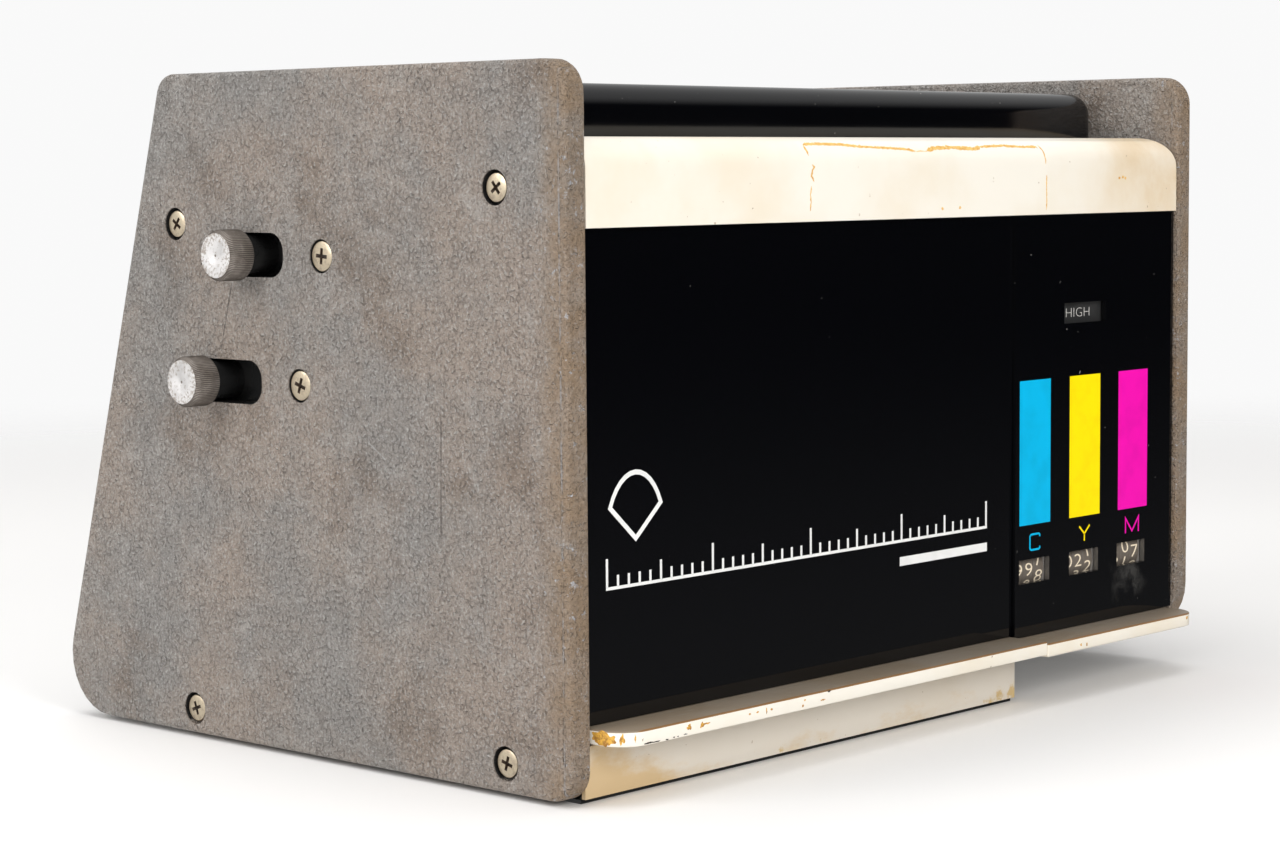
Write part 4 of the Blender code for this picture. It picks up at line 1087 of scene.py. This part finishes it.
def make_stage():
    """A pale floor that fades into the pale surroundings."""
    floor = bmesh.new()
    bmesh.ops.create_circle(floor, cap_ends=True, segments=96, radius=1.6)
    mesh = mesh_of("floor", floor)
    plane = put("floor", mesh)
    plane.location.z = ORIGIN.z
    material, tree, shader, coords = start_material("floor", roughness=0.6, colour=(0.88, 0.868, 0.856))
    x, y = axes_of(tree, coords)[:2]
    far = calc(tree, "SQRT", plus(tree, times(tree, x, x), times(tree, y, y)))
    tree.links.new(span(tree, far, 0.55, 1.45, 1.0, 0.0), shader.inputs["Alpha"])
    plane.visible_glossy = False
    shader.inputs["Specular IOR Level"].default_value = 0.2
    mesh.materials.append(material)


def area_light(name, place, aim, size, power, colour=(1, 1, 1)):
    lamp = bpy.data.lights.new(name, "AREA")
    lamp.shape = "RECTANGLE"
    lamp.size = size[0]
    lamp.size_y = size[1]
    lamp.energy = power
    lamp.color = colour
    shown = put(name, lamp)
    shown.location = place
    shown.rotation_euler = (Vector(aim) - Vector(place)).to_track_quat("-Z", "Y").to_euler()
    return shown


def make_lights():
    top = area_light("top_softbox", (-0.1, 0.1, 1.5), (0, 0, 0.05), (1.4, 1.4), 12)
    top.visible_glossy = False
    area_light("left_softbox", (-1.6, 0.5, 0.9), (0, 0, 0.1), (1.0, 1.0), 14)
    area_light("front_softbox", (-0.45, -1.6, 0.8), (0.0, 0, 0.1), (0.7, 0.7), 15)
    world = bpy.data.worlds.new("studio")
    bpy.context.scene.world = world
    world.use_nodes = True
    tree = world.node_tree
    background = tree.nodes["Background"]
    background.inputs["Color"].default_value = (1.0, 1.0, 1.0, 1)
    way = tree.nodes.new("ShaderNodeTexCoord").outputs["Generated"]
    x, y, z = axes_of(tree, way)
    facing = calc(tree, "MULTIPLY_ADD", x, 0.738, times(tree, y, -0.674))
    dark_side = times(tree, span(tree, facing, 0.25, 0.8), span(tree, z, 0.2, 0.6, 1.0, 0.0))
    low_glow = span(tree, z, -0.04, -0.22, 0.01, 0.13)
    strength = plus(tree, times(tree, dark_side, low_glow), times(tree, minus(tree, 1.0, dark_side), 0.62))
    seen = tree.nodes.new("ShaderNodeLightPath").outputs["Is Camera Ray"]
    strength = calc(tree, "MAXIMUM", strength, times(tree, seen, 0.95))
    tree.links.new(strength, background.inputs["Strength"])
    bpy.context.scene.view_settings.view_transform = "Standard"


def make_camera():
    lens = bpy.data.cameras.new("camera")
    lens.lens = 81.96
    lens.sensor_width = 36.0
    lens.clip_start = 0.05
    camera = put("camera", lens)
    forward = Vector((0.73562, 0.67155, -0.08878))
    right = Vector((0.67367, -0.73899, -0.00794))
    up = right.cross(forward).normalized()
    right = forward.cross(up).normalized()
    turn = Matrix((right, up, -forward.normalized())).transposed()
    camera.matrix_world = Matrix.Translation(head(-608.05, -583.28, 188.31)) @ turn.to_4x4()
    bpy.context.scene.camera = camera


# ---------------------------------------------------------------- put together

def paint_cad(nodes, material):
    """Gives CAD nodes a finished material."""
    for name in nodes:
        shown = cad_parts[name]
        shown.data.materials.clear()
        shown.data.materials.append(material)


PAINTS = dict(
    cheek=crackle_paint(),
    trim=cream_enamel("cream_trim", tan=True),
    ledge=cream_enamel("cream_ledge", rust_and_skirt_shade=True),
    ledge_top=ledge_top("ledge_top"),
    left_glass=black_gloss("panel_gloss", 0.0, 0.03),
    right_glass=black_gloss("panel_gloss_right", 0.01, 0.03, smear=True),
    hood=black_gloss("hood_gloss", 0.03, 0.10),
    sheet=plain_black("black_sheet", 0.012, 0.5),
    stem=plain_black("black_stem", 0.014, 0.24, 900),
    plastic=plain_black("black_plastic", 0.016, 0.45),
    drum=pale_solid("counter_drum", (0.165, 0.138, 0.112), 0.55, 900, 0.00004),
    # The counter frame is painted pale, far brighter than the frame itself, to make up for the shade it sits
    # in behind the panel: painted light.
    counter_frame=pale_solid("counter_frame_lightened", (0.62, 0.58, 0.54), 0.6, 900, 0.00004),
    flag=plain_black("flag_plastic", 0.026, 0.5, 900),
    zinc=worn_metal("zinc_sheet", (0.62, 0.62, 0.61), (0.42, 0.41, 0.39), 0.3, 60),
    white_light_face=knob_face("white_light_knob"),
    attenuator_face=knob_face("attenuator_knob"),
    white_light_side=knob_side("white_light_knob", FLUTES),
    attenuator_side=knob_side("attenuator_knob", FLUTES),
    screw=worn_metal("nickel_screw", (0.80, 0.68, 0.50), (0.45, 0.36, 0.27), 0.28, 500, 0.7),
    # Dark brown for the inside of the screws' cross recesses: painted shade.
    recess=deposit("screw_recess_shade", (0.075, 0.045, 0.026), (0.03, 0.02, 0.014)),
    foam=pale_solid("white_foam", (0.86, 0.86, 0.83), 0.85, 500, 0.0002),
    opal=pale_solid("opal_sheet", (0.9, 0.9, 0.88), 0.35, 900, 0.00002),
    ceramic=pale_solid("ceramic", (0.78, 0.75, 0.68), 0.6, 700),
    lamp=clear_glass("lamp_glass", (0.92, 0.94, 0.95)),
    white_ink=ink("white_ink", (0.86, 0.86, 0.84), 0.0, 0.3, 0.5),
    rust=deposit("rust", (0.76, 0.42, 0.06), (0.36, 0.16, 0.025)),
    glue=deposit("dried_glue", (0.85, 0.55, 0.17), (0.66, 0.34, 0.07)),
    grime=deposit("grime", (0.03, 0.025, 0.02), (0.08, 0.06, 0.04)),
    # The wheel figures glow a little: painted light.
    glowing_figure_ink=ink("glowing_figure_ink", (0.86, 0.74, 0.56), 0.1, 0.5),
    legend_ink=ink("legend_ink", (0.62, 0.60, 0.57), 0.0, 0.5),
)
# The printed bars and letters glow a little: painted light.
INKS = {c: ink("ink_" + c, INK[c], 0.04, 0.45) for c in COLOURS}
CAPS = {c: ink("cap_" + c, INK[c], 0.0, 0.35, 0.3) for c in COLOURS}
FILTERS = {c: clear_glass("dichroic_" + c, INK[c]) for c in COLOURS}

CAD_PAINTS = dict(
    cheek=["left_cheek", "right_cheek"],
    left_glass=["front_panel_left"],
    right_glass=["front_panel_right"],
    ledge=["skirt"],
    sheet=["base_plate", "rear_cover"],
    flag=["legend_flag"],
    counter_frame=["counter_frame"],
    stem=["white_light_slide", "attenuator_slide"],
    plastic=["fan_housing", "fan_rotor", "power_inlet"],
    zinc=["bulkhead", "module_floor", "rear_floor", "filter_guide", "lamp_bracket", "screw_bracket"]
    + [part + c for part in ("filter_carrier_", "lead_screw_") for c in COLOURS],
    screw=["counter_axle"],
    foam=["mixing_chamber"],
    opal=["diffuser"],
    ceramic=["lamp_socket"],
    lamp=["lamp", "heat_glass"],
)
for paint, nodes in CAD_PAINTS.items():
    paint_cad(nodes, PAINTS[paint])
for colour in COLOURS:
    paint_cad(["filter_glass_" + colour], FILTERS[colour])
make_trim(PAINTS["trim"])
make_ledges(PAINTS["ledge"], PAINTS["ledge_top"])
make_hood(PAINTS["hood"])
make_prints(PAINTS["white_ink"], INKS)
make_wear()
make_wheels(PAINTS["drum"], PAINTS["glowing_figure_ink"])
make_legend(PAINTS["legend_ink"])
for lever in ("white_light", "attenuator"):
    make_lever_knob(lever + "_knob", lever + "_lever", PAINTS[lever + "_side"], PAINTS[lever + "_face"])
for node in sorted(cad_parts):
    if node.startswith("cheek_screw") or node.startswith("guide_screw"):
        make_screw(node + "_head", node, PAINTS["screw"], PAINTS["recess"])
make_outer_screws(PAINTS["screw"])
make_dials(PAINTS["plastic"], CAPS)
make_stage()
make_lights()
make_camera()
